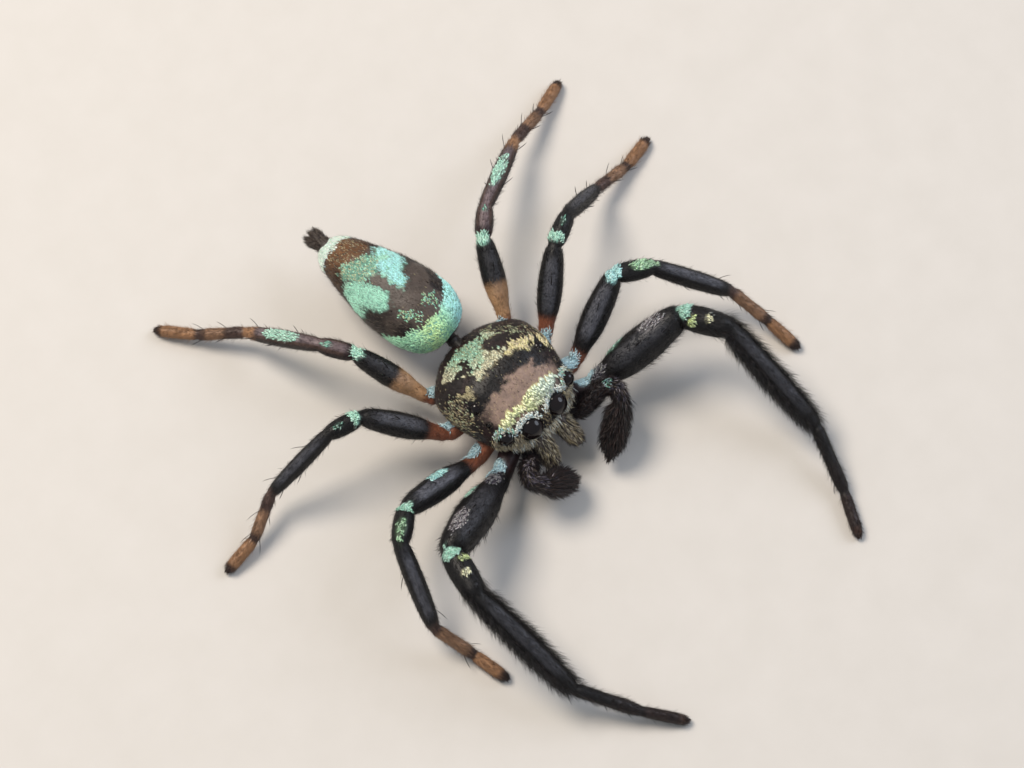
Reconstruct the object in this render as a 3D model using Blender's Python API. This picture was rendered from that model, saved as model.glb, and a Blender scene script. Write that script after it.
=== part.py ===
"""Male jumping spider with metallic blue-green scales, life size, standing with its legs spread."""

import random
from math import cos, pi, radians, sin

import bmesh
import bpy
from mathutils import Matrix, Vector

# Lengths are in millimetres, and every finished mesh is scaled to metres.
# The spider faces -Y, its left is +X, and its feet stand on z = 0.
MM = 0.001
UP = Vector((0.0, 0.0, 1.0))
GAP = 0.06  # clear space between neighbouring pieces
SEED = 7

# Carapace and the sternum under it, as one body from front to back
CARAPACE_FRONT = -1.76
CARAPACE_REAR = 1.82
CARAPACE_OUTLINE = ((-1.0, 1.06), (-0.69, 1.40), (-0.30, 1.62), (0.12, 1.76), (0.55, 1.64), (1.0, 1.02))
CARAPACE_TOP = ((-1.0, 2.44), (-0.6, 2.66), (-0.2, 2.86), (0.1, 2.90), (0.42, 2.64), (0.7, 2.16), (1.0, 1.72))
CARAPACE_RIM = ((-1.0, 1.66), (-0.4, 1.50), (0.4, 1.48), (1.0, 1.52))
STERNUM_BOTTOM = ((-1.0, 1.20), (-0.5, 0.74), (0.4, 0.70), (1.0, 1.12))
CARAPACE_ROUNDNESS = 10  # power that rounds the two ends off
CARAPACE_SHOULDER = 2.6  # power that squares the section above the rim
STERNUM_SECTION = 1.5  # power that narrows the section below the rim
CARAPACE_FACETS = (28, 18)  # round it and along it

# Eyes as centre across, centre along, centre height and radius, on each side
EYES = {
    "anterior_median": (0.46, -1.42, 2.00, 0.38),
    "anterior_lateral": (1.17, -1.20, 2.12, 0.23),
    "posterior_median": (1.27, -0.68, 2.34, 0.09),
    "posterior_lateral": (1.19, -0.12, 2.44, 0.20),
}
SOCKET_GAP = 0.03
LARGE_EYE = 0.3  # radius from which an eye takes the finer facets
LARGE_EYE_FACETS = (16, 10)
SMALL_EYE_FACETS = (10, 7)

# Abdomen, swung a little to the spider's right
ABDOMEN_FRONT = Vector((0.02, 2.02, 1.78))
ABDOMEN_REAR = Vector((-0.42, 6.56, 1.50))
ABDOMEN_OUTLINE = (
    (-1.0, 1.00), (-0.6, 1.15), (-0.15, 1.14), (0.28, 0.95), (0.62, 0.74), (0.88, 0.61), (1.0, 0.50),
)
ABDOMEN_TOP = ((-1.0, 0.86), (-0.5, 1.06), (0.0, 1.04), (0.6, 0.68), (1.0, 0.34))
ABDOMEN_BELLY = ((-1.0, 0.62), (-0.3, 0.96), (0.4, 0.82), (1.0, 0.34))
ABDOMEN_ROUNDNESS = 8
ABDOMEN_SECTION = 2.1  # power of its nearly round section
ABDOMEN_FACETS = (24, 16)  # round it and along it
PEDICEL_RADIUS = 0.24
PEDICEL_HEIGHT = 1.50
PEDICEL_SIDES = 10
SPINNERET_LENGTH = 0.30
SPINNERET_RADIUS = 0.14
SPINNERET_SPREAD = 0.14  # how far from the middle each one is rooted
SPINNERET_BASE = (0.50, 0.44, 0.14)  # width at the abdomen, width behind, length
SPINNERET_TAPER = ((0.0, 1.0), (0.6, 0.85), (1.0, 0.45))
SPINNERET_SPLAY = 0.25  # how much each one leans away from the middle
SPINNERET_COUNT = 6
SPINNERET_SIDES = (12, 8)  # of the base and of each one

# Chelicerae reach forward and down below the front eyes
CHELICERA_ROOT = Vector((0.36, -1.68, 1.34))
CHELICERA_TIP = Vector((0.50, -2.42, 0.58))
CHELICERA_WIDTH = 0.60
CHELICERA_SIDES = 12
CHELICERA_TAPER = ((0.0, 0.80), (0.2, 0.98), (0.5, 1.0), (0.8, 0.84), (1.0, 0.50))
FANG_LENGTH = 0.34
FANG_WIDTH = 0.13
FANG_SIDES = 8
FANG_TAPER = ((0.0, 1.0), (0.5, 0.75), (1.0, 0.2))
FANG_START = -0.08  # from the chelicera's tip back into it
FANG_WAY = Vector((-0.8, 0.6, -0.25))  # inward, back and down
FANG_CURL = 0.3  # how far its tip turns up again

# Palps: coxa root in the body, femur root, both ends of the elbow's curve, wrist and tip of the bushy end
PALPS = {
    "left": (
        (0.60, -1.24, 1.00), (0.98, -1.92, 1.16), (1.80, -1.98, 1.58),
        (2.06, -2.20, 1.64), (1.92, -2.58, 1.48), (0.84, -3.22, 0.64),
    ),
    "right": (
        (-0.60, -1.24, 1.00), (-0.90, -1.94, 1.12), (-1.30, -2.10, 1.46),
        (-1.46, -2.38, 1.52), (-1.26, -2.70, 1.36), (-0.48, -2.98, 0.62),
    ),
}
PALP_SEGMENTS = ("coxa", "metatarsus", "link", "link", "tarsus")  # whose profiles its lengths take
PALP_COXA_WIDTH = 0.46
PALP_WIDTH = 0.52
CYMBIUM_WIDTH = 0.66

# Legs by pair, front to back
SEGMENTS = ("coxa", "femur", "patella", "tibia", "metatarsus", "tarsus")
HIP_HEIGHT = 1.02
HIPS = {1: (1.78, -1.62), 2: (1.96, -0.80), 3: (1.94, 0.28), 4: (1.54, 1.40)}
COXA_ROOT = (0.28, 0.60, 0.92)  # shares of the hip's place across and along, and height, inside the body
LENGTHS = {
    1: (3.15, 1.40, 3.65, 1.95, 1.30),
    2: (2.70, 1.10, 2.55, 1.35, 1.10),
    3: (2.60, 1.00, 2.45, 1.35, 1.10),
    4: (2.40, 1.00, 2.75, 1.45, 1.25),
}
THICKNESS = {
    1: (0.66, 1.18, 0.84, 0.72, 0.54, 0.48),
    2: (0.60, 0.86, 0.66, 0.62, 0.50, 0.46),
    3: (0.60, 0.80, 0.62, 0.60, 0.50, 0.46),
    4: (0.58, 0.74, 0.60, 0.58, 0.50, 0.46),
}
# Heading and pitch in degrees of femur, patella, tibia and metatarsus, then the tarsus heading.
# Heading 0 looks forward and 90 to the spider's left. The tarsus comes down to the floor by itself.
POSES = {
    ("right", 1): ((-75, 25), (-17, 3), (3, -23), (29, -17), 35),
    ("right", 2): ((-94, 22), (-53, 16), (-22, -34), (16, -30), 8),
    ("right", 3): ((-139, 27), (-105, 6), (-99, -34), (-69, -24), -88),
    ("right", 4): ((-161, 26), (-148, 10), (-160, -32), (-140, -17), -147),
    ("left", 1): ((78, 23), (26, 4), (0, -24), (-22, -18), -30),
    ("left", 2): ((106, 29), (59, -8), (37, -27), (11, -25), 5),
    ("left", 3): ((127, 33), (112, 2), (104, -44), (90, -22), 99),
    ("left", 4): ((150, 25), (131, -6), (115, -20), (101, -21), 107),
}
FOOT_HEIGHT = 0.13  # centre of the tarsus tip above the floor

# Coarse hair in locks: each one's length, width and thickness, its lean off the limb at root and tip in
# degrees, its places round the limb in degrees (0 and 180 are the sides, 90 the top) and along it
FRINGE_LOCK = (0.50, 0.26, 0.11)
FRINGE_LEAN = (60, 24)
FRINGE_ANGLES = (0, 180, 225, 315)
FRINGE_SHARES = [0.05 + 0.088 * k for k in range(10)]
PALP_LOCK = (0.56, 0.28, 0.12)
PALP_LEAN = (44, 2)
PALP_ANGLES = range(0, 360, 60)
PALP_SHARES = [0.06 + 0.17 * k for k in range(5)]
LOCK_TAPER = ((0.0, 0.9), (0.33, 1.0), (0.68, 0.68), (1.0, 0.16))
SIZE_JITTER = 0.18  # share by which the sizes of a lock vary
TURN_JITTER = 9  # degrees round the limb
PLACE_JITTER = 0.02  # share of the limb's length
ROOT_DEPTH = 0.5  # share of the limb's radius at which a lock is rooted

# Shares of a segment's own thickness at shares of its length
PROFILES = {
    "coxa": ((0.0, 0.8), (0.5, 1.0), (1.0, 0.92)),
    "femur": ((0.0, 0.58), (0.10, 0.62), (0.18, 0.66), (0.36, 0.92), (0.58, 1.0), (0.85, 0.86), (1.0, 0.66)),
    "patella": ((0.0, 0.86), (0.5, 1.0), (1.0, 0.88)),
    "tibia": ((0.0, 0.88), (0.2, 0.92), (0.5, 1.0), (0.8, 0.90), (1.0, 0.76)),
    "link": ((0.0, 1.0), (1.0, 1.0)),
    "metatarsus": ((0.0, 0.96), (0.3, 0.90), (0.75, 0.92), (1.0, 1.0)),
    "tarsus": ((0.0, 0.94), (0.4, 1.0), (0.75, 0.98), (0.92, 0.80), (1.0, 0.50)),
}
LEG_SIDES = 12

# Colour, roughness and metallic share of each material
FINISHES = {
    "carapace": ((0.060, 0.050, 0.040), 0.5, 0.2),
    "abdomen": ((0.055, 0.110, 0.095), 0.4, 0.4),
    "dark_leg": ((0.010, 0.009, 0.011), 0.4, 0.1),
    "orange_foot": ((0.330, 0.130, 0.045), 0.55, 0.0),
    "palp": ((0.020, 0.013, 0.014), 0.7, 0.0),
    "chelicera": ((0.045, 0.032, 0.028), 0.35, 0.0),
    "eye": ((0.006, 0.004, 0.004), 0.08, 0.0),
}


def clear_scene():
    for item in list(bpy.data.objects):
        bpy.data.objects.remove(item, do_unlink=True)


def make_material(name):
    colour, roughness, metallic = FINISHES[name]
    material = bpy.data.materials.new(name)
    material.use_nodes = True
    shader = material.node_tree.nodes["Principled BSDF"]
    shader.inputs["Base Color"].default_value = (*colour, 1.0)
    shader.inputs["Roughness"].default_value = roughness
    shader.inputs["Metallic"].default_value = metallic
    return material


def between(table, t):
    """Value at t of a smooth curve through the (place, value) rows of a table."""
    slopes = [0.0] * len(table)
    for k in range(1, len(table) - 1):
        slopes[k] = (table[k + 1][1] - table[k - 1][1]) / (table[k + 1][0] - table[k - 1][0])
    for k in range(len(table) - 1):
        (t0, v0), (t1, v1) = table[k], table[k + 1]
        if t <= t1:
            step = t1 - t0
            s = (t - t0) / step
            rise = v0 * (1 + 2 * s) * (1 - s) ** 2 + v1 * s * s * (3 - 2 * s)
            return rise + step * (slopes[k] * s * (1 - s) ** 2 - slopes[k + 1] * s * s * (1 - s))
    return table[-1][1]


def new_object(name, bm):
    mesh = bpy.data.meshes.new(name)
    bmesh.ops.recalc_face_normals(bm, faces=bm.faces)
    bm.to_mesh(mesh)
    bm.free()
    item = bpy.data.objects.new(name, mesh)
    bpy.context.scene.collection.objects.link(item)
    return item


def ball(name, centre, radius, segments, rings):
    bm = bmesh.new()
    bmesh.ops.create_uvsphere(bm, u_segments=segments, v_segments=rings, radius=radius)
    bmesh.ops.translate(bm, verts=bm.verts, vec=centre)
    return new_object(name, bm)


def shaped_ball(name, segments, rings, place):
    """A sphere whose points go to place(t, across, over), where t runs from -1 to 1 along it."""
    bm = bmesh.new()
    bmesh.ops.create_uvsphere(bm, u_segments=segments, v_segments=rings, radius=1.0)
    for vert in bm.verts:
        t = max(-1.0, min(1.0, vert.co.z))
        around = max((1 - t * t) ** 0.5, 1e-9)
        vert.co = place(t, vert.co.x / around, vert.co.y / around)
    return new_object(name, bm)


def squared(value, power):
    """The share of a unit circle pushed out towards a square, for powers over 2."""
    return abs(value) ** (2 / power) * (1 if value >= 0 else -1)


def ring_round(centre, along, cut, width, height, sides):
    """Oval ring round a limb that runs along, slid so that it lies in the plane whose normal is cut."""
    across = along.cross(UP).normalized()
    over = across.cross(along)
    ring = []
    for k in range(sides):
        angle = 2 * pi * k / sides
        point = across * (cos(angle) * width / 2) + over * (sin(angle) * height / 2)
        ring.append(centre + point - along * (point.dot(cut) / along.dot(cut)))
    return ring


def loft(name, rings):
    """Closed skin over rings of equal count, with flat ends."""
    bm = bmesh.new()
    rows = [[bm.verts.new(point) for point in ring] for ring in rings]
    count = len(rows[0])
    for row, after in zip(rows, rows[1:]):
        for k in range(count):
            bm.faces.new((row[k], row[(k + 1) % count], after[(k + 1) % count], after[k]))
    bm.faces.new(rows[0][::-1])
    bm.faces.new(rows[-1])
    return new_object(name, bm)


def keep_largest(bm):
    """Removes every closed surface but the one with the most faces."""
    left = set(bm.faces)
    groups = []
    while left:
        queue = [left.pop()]
        group = list(queue)
        while queue:
            for edge in queue.pop().edges:
                for face in edge.link_faces:
                    if face in left:
                        left.remove(face)
                        queue.append(face)
                        group.append(face)
        groups.append(group)
    groups.sort(key=len)
    scraps = [face for group in groups[:-1] for face in group]
    bmesh.ops.delete(bm, geom=scraps, context="FACES")


def combine(target, others, operation):
    """One Boolean of target with all the others, applied, and the others removed."""
    group = bpy.data.collections.new("boolean_pieces")
    bpy.context.scene.collection.children.link(group)
    for other in others:
        group.objects.link(other)
    modifier = target.modifiers.new("combine", "BOOLEAN")
    modifier.operation = operation
    modifier.solver = "EXACT"
    modifier.operand_type = "COLLECTION"
    modifier.collection = group
    graph = bpy.context.evaluated_depsgraph_get()
    bm = bmesh.new()
    bm.from_mesh(target.evaluated_get(graph).to_mesh())
    keep_largest(bm)
    target.modifiers.remove(modifier)
    bm.to_mesh(target.data)
    bm.free()
    for other in others:
        bpy.data.objects.remove(other, do_unlink=True)
    bpy.data.collections.remove(group)


def direction(heading, pitch):
    turn, rise = radians(heading), radians(pitch)
    return Vector((sin(turn) * cos(rise), -cos(turn) * cos(rise), sin(rise)))


def leg_path(side, pair):
    """Points from the coxa's root in the body, over each joint, to the tip of the tarsus."""
    sign = 1 if side == "left" else -1
    across, along = HIPS[pair]
    hip = Vector((sign * across, along, HIP_HEIGHT))
    path = [Vector((hip.x * COXA_ROOT[0], hip.y * COXA_ROOT[1], COXA_ROOT[2])), hip]
    *upper, tarsus_heading = POSES[side, pair]
    for length, (heading, pitch) in zip(LENGTHS[pair], upper):
        path.append(path[-1] + direction(heading, pitch) * length)
    drop = path[-1].z - FOOT_HEIGHT
    reach = (LENGTHS[pair][-1] ** 2 - drop ** 2) ** 0.5
    path.append(path[-1] + direction(tarsus_heading, 0) * reach - UP * drop)
    return path


def limb_rings(path, names, first, last, thickness):
    """Rings over the segments first to last of a path, mitred at its joints and clear of the next piece."""
    ways = [(b - a).normalized() for a, b in zip(path, path[1:])]
    rings = []
    for k in range(first, last + 1):
        way = ways[k]
        for share, factor in PROFILES[names[k]]:
            if share == 0 and k > first:
                continue  # the joint's ring came with the segment before
            centre = path[k].lerp(path[k + 1], share)
            cut = way
            if share == 0 and k > 0:
                cut = (ways[k - 1] + way).normalized()
                centre = centre + way * (GAP / 2)
            if share == 1 and k + 1 < len(ways):
                cut = (ways[k + 1] + way).normalized()
                if k == last:
                    centre = centre - way * (GAP / 2)
            size = thickness[k] * factor
            rings.append(ring_round(centre, way, cut, size, size, LEG_SIDES))
    return rings


def flat_ring(centre, side, over, width, thickness):
    """Four corners of a flat lozenge, the section of a lock."""
    return [centre + side * (width / 2), centre + over * (thickness / 2),
            centre - side * (width / 2), centre - over * (thickness / 2)]


def lock(root, way, out, size, lean):
    """Flat tapered lock that leaves its root leaning out and bends over to lie along the limb."""
    length, width, thickness = (value * random.uniform(1 - SIZE_JITTER, 1 + SIZE_JITTER) for value in size)
    side = way.cross(out).normalized()
    rings = []
    centre = root.copy()
    last = 0.0
    for share, factor in LOCK_TAPER:
        angle = radians(lean[0] + (lean[1] - lean[0]) * (share + last) / 2)
        centre = centre + (way * cos(angle) + out * sin(angle)) * (length * (share - last))
        last = share
        tilt = radians(lean[0] + (lean[1] - lean[0]) * share)
        over = out * cos(tilt) - way * sin(tilt)
        rings.append(flat_ring(centre, side, over, width * factor, thickness * factor))
    return loft("lock", rings)


def locks_on(start, end, radius, angles, shares, size, lean):
    """Locks rooted inside a limb from start to end, at each angle round it and each share along it."""
    way = (end - start).normalized()
    across = way.cross(UP).normalized()
    over = across.cross(way)
    locks = []
    for row, share in enumerate(shares):
        stagger = (row % 2) * 90 / len(angles)
        for angle in angles:
            turn = radians(angle + stagger + random.uniform(-TURN_JITTER, TURN_JITTER))
            out = across * cos(turn) + over * sin(turn)
            root = start.lerp(end, share + random.uniform(-PLACE_JITTER, PLACE_JITTER))
            locks.append(lock(root + out * (radius * ROOT_DEPTH), way, out, size, lean))
    return locks


def level_foot(item):
    """Presses what would reach below the floor flat on it."""
    for vert in item.data.vertices:
        vert.co.z = max(vert.co.z, 0.0)


def build_leg(side, pair):
    path = leg_path(side, pair)
    stem = f"leg_{side}_{pair}_"
    pieces = []
    for name, first, last in (("femur", 1, 1), ("tibia", 2, 3), ("metatarsus", 4, 4), ("tarsus", 5, 5)):
        rings = limb_rings(path, SEGMENTS, first, last, THICKNESS[pair])
        pieces.append(loft(stem + name, rings))
    if pair == 1:
        radius = THICKNESS[pair][3] / 2
        fringe = locks_on(path[3], path[4], radius, FRINGE_ANGLES, FRINGE_SHARES, FRINGE_LOCK, FRINGE_LEAN)
        combine(pieces[1], fringe, "UNION")
    level_foot(pieces[-1])
    return pieces


def coxa(side, pair):
    rings = limb_rings(leg_path(side, pair), SEGMENTS, 0, 0, THICKNESS[pair])
    return loft("coxa", rings)


def carapace_point(t, across, over):
    rounding = max(1 - abs(t) ** CARAPACE_ROUNDNESS, 0.0) ** 0.5
    rim = between(CARAPACE_RIM, t)
    half = between(CARAPACE_OUTLINE, t) * rounding
    if over >= 0:
        height = (between(CARAPACE_TOP, t) - rim) * rounding * squared(over, CARAPACE_SHOULDER)
        width = half * squared(across, CARAPACE_SHOULDER)
    else:
        height = (rim - between(STERNUM_BOTTOM, t)) * rounding * over
        width = half * squared(across, STERNUM_SECTION)
    along = CARAPACE_FRONT + (CARAPACE_REAR - CARAPACE_FRONT) * (t + 1) / 2
    return Vector((width, along, rim + height))


def eye_places():
    for name, (across, along, height, radius) in EYES.items():
        for side, sign in (("left", 1), ("right", -1)):
            yield f"eye_{name}_{side}", Vector((sign * across, along, height)), radius


def eye_ball(name, centre, radius, grow):
    facets = LARGE_EYE_FACETS if radius > LARGE_EYE else SMALL_EYE_FACETS
    return ball(name, centre, radius + grow, *facets)


def build_cephalothorax():
    body = shaped_ball("cephalothorax", *CARAPACE_FACETS, carapace_point)
    coxae = [coxa(side, pair) for side in ("left", "right") for pair in HIPS]
    coxae += [palp_coxa(side) for side in PALPS]
    combine(body, coxae, "UNION")
    sockets = [eye_ball("socket", centre, radius, SOCKET_GAP) for _, centre, radius in eye_places()]
    sockets += [chelicera_skin("socket", side, GAP) for side in PALPS]
    combine(body, sockets, "DIFFERENCE")
    return body


def build_eyes():
    return [eye_ball(name, centre, radius, 0.0) for name, centre, radius in eye_places()]


def abdomen_point(t, across, over):
    axis = (ABDOMEN_REAR - ABDOMEN_FRONT).normalized()
    side = UP.cross(axis).normalized()
    lift = axis.cross(side)
    rounding = max(1 - abs(t) ** ABDOMEN_ROUNDNESS, 0.0) ** 0.5
    width = between(ABDOMEN_OUTLINE, t) * rounding * squared(across, ABDOMEN_SECTION)
    profile = ABDOMEN_TOP if over >= 0 else ABDOMEN_BELLY
    height = between(profile, t) * rounding * squared(over, ABDOMEN_SECTION)
    return ABDOMEN_FRONT.lerp(ABDOMEN_REAR, (t + 1) / 2) + side * width + lift * height


def build_abdomen():
    return shaped_ball("abdomen", *ABDOMEN_FACETS, abdomen_point)


def build_pedicel():
    back = Vector((0.0, 1.0, 0.0))
    axis = (ABDOMEN_REAR - ABDOMEN_FRONT).normalized()
    end = ABDOMEN_FRONT + UP * (PEDICEL_HEIGHT - ABDOMEN_FRONT.z) - axis * GAP
    start = Vector((end.x, CARAPACE_REAR + GAP, PEDICEL_HEIGHT))
    width = 2 * PEDICEL_RADIUS
    ends = ((start, back), (end, axis))
    rings = [ring_round(centre, back, cut, width, width, PEDICEL_SIDES) for centre, cut in ends]
    return loft("pedicel", rings)


def build_spinnerets():
    axis = (ABDOMEN_REAR - ABDOMEN_FRONT).normalized()
    side = UP.cross(axis).normalized()
    lift = axis.cross(side)
    root = ABDOMEN_REAR + axis * GAP
    front, back, length = SPINNERET_BASE
    base_sides, sides = SPINNERET_SIDES
    ends = ((root, front), (root + axis * length, back))
    rings = [ring_round(centre, axis, axis, width, width, base_sides) for centre, width in ends]
    base = loft("spinnerets", rings)
    cones = []
    for k in range(SPINNERET_COUNT):
        angle = 2 * pi * (k + 0.5) / SPINNERET_COUNT
        out = side * cos(angle) + lift * sin(angle)
        foot = root + out * SPINNERET_SPREAD + axis * (length / 2)
        way = (axis + out * SPINNERET_SPLAY).normalized()
        rings = []
        for share, factor in SPINNERET_TAPER:
            width = 2 * SPINNERET_RADIUS * factor
            rings.append(ring_round(foot + way * (SPINNERET_LENGTH * share), way, way, width, width, sides))
        cones.append(loft("cone", rings))
    combine(base, cones, "UNION")
    return base


def mirrored(point, side):
    return Vector((point.x if side == "left" else -point.x, point.y, point.z))


def chelicera_skin(name, side, grow):
    root, tip = mirrored(CHELICERA_ROOT, side), mirrored(CHELICERA_TIP, side)
    way = (tip - root).normalized()
    rings = []
    for share, factor in CHELICERA_TAPER:
        size = CHELICERA_WIDTH * factor + 2 * grow
        centre = root.lerp(tip, share) + way * (grow * (2 * share - 1))
        rings.append(ring_round(centre, way, way, size, size, CHELICERA_SIDES))
    return loft(name, rings)


def build_chelicera(side):
    body = chelicera_skin(f"chelicera_{side}", side, 0.0)
    root, tip = mirrored(CHELICERA_ROOT, side), mirrored(CHELICERA_TIP, side)
    start = tip + (tip - root).normalized() * FANG_START
    inward = mirrored(Vector((-1.0, 0.0, 0.0)), side)
    rings = []
    for share, factor in FANG_TAPER:
        reach = mirrored(FANG_WAY, side) + UP * (FANG_CURL * share)
        centre = start + reach * (FANG_LENGTH * share)
        width = FANG_WIDTH * factor
        rings.append(ring_round(centre, inward, inward, width, width, FANG_SIDES))
    combine(body, [loft("fang", rings)], "UNION")
    return body


def palp_rings(side, first, last):
    path = [Vector(point) for point in PALPS[side]]
    thickness = (PALP_COXA_WIDTH, PALP_WIDTH, PALP_WIDTH, PALP_WIDTH, CYMBIUM_WIDTH)
    return limb_rings(path, PALP_SEGMENTS, first, last, thickness)


def palp_coxa(side):
    return loft("palp_coxa", palp_rings(side, 0, 0))


def build_palp(side):
    arm = loft(f"palp_{side}_arm", palp_rings(side, 1, 3))
    cymbium = loft(f"palp_{side}_cymbium", palp_rings(side, 4, 4))
    wrist, tip = (Vector(point) for point in PALPS[side][-2:])
    locks = locks_on(wrist, tip, CYMBIUM_WIDTH / 2, PALP_ANGLES, PALP_SHARES, PALP_LOCK, PALP_LEAN)
    combine(cymbium, locks, "UNION")
    return [arm, cymbium]


def finish(items, material, collection):
    """Scales the meshes to metres, gives them their material and files them."""
    for item in items:
        item.data.transform(Matrix.Scale(MM, 4))
        item.data.materials.clear()
        item.data.materials.append(material)
        item.data.shade_smooth()
        bpy.context.scene.collection.objects.unlink(item)
        collection.objects.link(item)


def centre_on_origin(items):
    """Slides the whole spider so that the middle of its footprint is the origin."""
    spans = []
    for axis in (0, 1):
        places = [vert.co[axis] for item in items for vert in item.data.vertices]
        spans.append((min(places) + max(places)) / 2)
    for item in items:
        item.data.transform(Matrix.Translation((-spans[0], -spans[1], 0.0)))


def main():
    clear_scene()
    random.seed(SEED)
    spider = bpy.data.collections.new("jumping_spider")
    bpy.context.scene.collection.children.link(spider)
    finish([build_cephalothorax(), build_pedicel()], make_material("carapace"), spider)
    finish([build_abdomen(), build_spinnerets()], make_material("abdomen"), spider)
    finish(build_eyes(), make_material("eye"), spider)
    finish([build_chelicera(side) for side in PALPS], make_material("chelicera"), spider)
    finish([piece for side in PALPS for piece in build_palp(side)], make_material("palp"), spider)
    dark, orange = make_material("dark_leg"), make_material("orange_foot")
    for side, pair in POSES:
        femur, tibia, metatarsus, tarsus = build_leg(side, pair)
        finish([femur, tibia], dark, spider)
        finish([metatarsus, tarsus], orange, spider)
    centre_on_origin(list(spider.objects))


main()
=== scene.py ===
import bpy
import numpy as np
from mathutils import Matrix, Vector


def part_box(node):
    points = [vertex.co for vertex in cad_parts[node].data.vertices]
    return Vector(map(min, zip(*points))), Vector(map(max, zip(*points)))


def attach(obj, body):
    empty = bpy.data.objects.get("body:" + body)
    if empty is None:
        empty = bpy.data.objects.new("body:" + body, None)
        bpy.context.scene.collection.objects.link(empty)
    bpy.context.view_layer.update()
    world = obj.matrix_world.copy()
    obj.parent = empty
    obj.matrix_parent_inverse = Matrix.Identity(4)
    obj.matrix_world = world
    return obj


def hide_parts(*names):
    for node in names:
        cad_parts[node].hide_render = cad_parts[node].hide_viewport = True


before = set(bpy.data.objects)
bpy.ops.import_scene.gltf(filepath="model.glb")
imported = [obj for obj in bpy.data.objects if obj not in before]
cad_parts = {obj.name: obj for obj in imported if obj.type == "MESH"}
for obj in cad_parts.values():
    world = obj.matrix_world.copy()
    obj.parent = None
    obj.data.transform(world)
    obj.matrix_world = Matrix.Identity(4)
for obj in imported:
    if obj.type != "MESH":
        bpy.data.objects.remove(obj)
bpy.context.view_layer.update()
rng = np.random.default_rng(11)   # all of the coat's random draws
mm = 0.001
floorGap = 0.003   # the lowest that anything goes, in millimetres over the floor
mirrors = {"left": np.array([1.0, 1.0, 1.0]), "right": np.array([-1.0, 1.0, 1.0])}

# Numbers, colours and noise


def linearColour(hexText):
    # sRGB channel c becomes ((c + 0.055) / 1.055) ** 2.4, or c / 12.92 near black
    parts = np.array([int(hexText[k:k + 2], 16) / 255 for k in (1, 3, 5)])
    return np.where(parts <= 0.04045, parts / 12.92, ((parts + 0.055) / 1.055) ** 2.4)


def smoothRows(rows, t):
    # cubic curve through (place, value) rows, level at both ends, with the slope of its neighbours elsewhere
    places, values = np.array(rows, float).T
    slopes = np.zeros_like(values)
    slopes[1:-1] = (values[2:] - values[:-2]) / (places[2:] - places[:-2])
    t = np.clip(t, places[0], places[-1])
    k = np.clip(np.searchsorted(places, t, side="right") - 1, 0, len(places) - 2)
    step = places[k + 1] - places[k]
    s = (t - places[k]) / step
    rise = values[k] * (1 + 2 * s) * (1 - s) ** 2 + values[k + 1] * s * s * (3 - 2 * s)
    return rise + step * (slopes[k] * s * (1 - s) ** 2 - slopes[k + 1] * s * s * (1 - s))


def ease(low, high, value):
    # smooth step from 0 at low to 1 at high
    s = np.clip((value - low) / (high - low), 0, 1)
    return s * s * (3 - 2 * s)


def between(a, b, c, d, value):
    # smooth rise from 0 at a to 1 at b, and smooth fall back to 0 from c to d
    return ease(a, b, value) * (1 - ease(c, d, value))


def bump(value, centre, reach, soft=0.35):
    # 1 within reach of the centre, fading to 0 over the share soft about that distance
    return 1 - ease(1 - soft / 2, 1 + soft / 2, np.abs(value - centre) / reach)


def wobble(points, grain, seed):
    # sum of twelve sine waves about grain long in fixed random directions, over 3.2 for about -1 to 1
    waves = np.random.default_rng(seed)
    ways = waves.normal(size=(12, 3))
    ways /= np.linalg.norm(ways, axis=1)[:, None]
    ways *= (2 * np.pi / grain) * waves.uniform(0.7, 1.5, (12, 1))
    shifts = waves.uniform(0, 2 * np.pi, 12)
    return np.sin(points @ ways.T + shifts).sum(-1) / 3.2


def unit(vectors):
    # each vector over its own length
    return vectors / np.maximum(np.linalg.norm(vectors, axis=-1, keepdims=True), 1e-12)


def mixColours(base, over, share):
    # base times 1 - share, plus over times share
    return base * (1 - share[..., None]) + over * share[..., None]


# Surfaces and meshes


def makeSurface(points, name, rect, **extra):
    # A closed skin from a grid of points, rows from one pole to the other and columns once round, with its
    # rectangle of the unwrap. Its normals are the cross product of the differences along and round it.
    along = np.gradient(points, axis=0)
    around = (np.roll(points, -1, 1) - np.roll(points, 1, 1)) / 2
    normals = unit(np.cross(around, along))
    centre = points.mean(1, keepdims=True)
    outward = np.sign(((points - centre) * normals).sum(-1).mean())
    return {"name": name, "points": points, "normals": normals * outward, "along": unit(along),
            "rect": rect, **extra}


def gridFaces(rows, columns, first):
    # quads between neighbouring rows, wrapping round, and a triangle fan at both poles
    r = np.arange(rows - 1)[:, None] * columns
    c = np.arange(columns)[None, :]
    after = (c + 1) % columns
    quads = np.stack([r + c, r + after, r + columns + after, r + columns + c], -1).reshape(-1, 4) + first
    start, end = first + rows * columns, first + rows * columns + 1
    head = np.stack([np.full(columns, start), (c[0] + 1) % columns + first, c[0] + first], -1)
    last = first + (rows - 1) * columns
    tail = np.stack([np.full(columns, end), c[0] + last, (c[0] + 1) % columns + last], -1)
    return quads, np.concatenate([head, tail])


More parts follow.
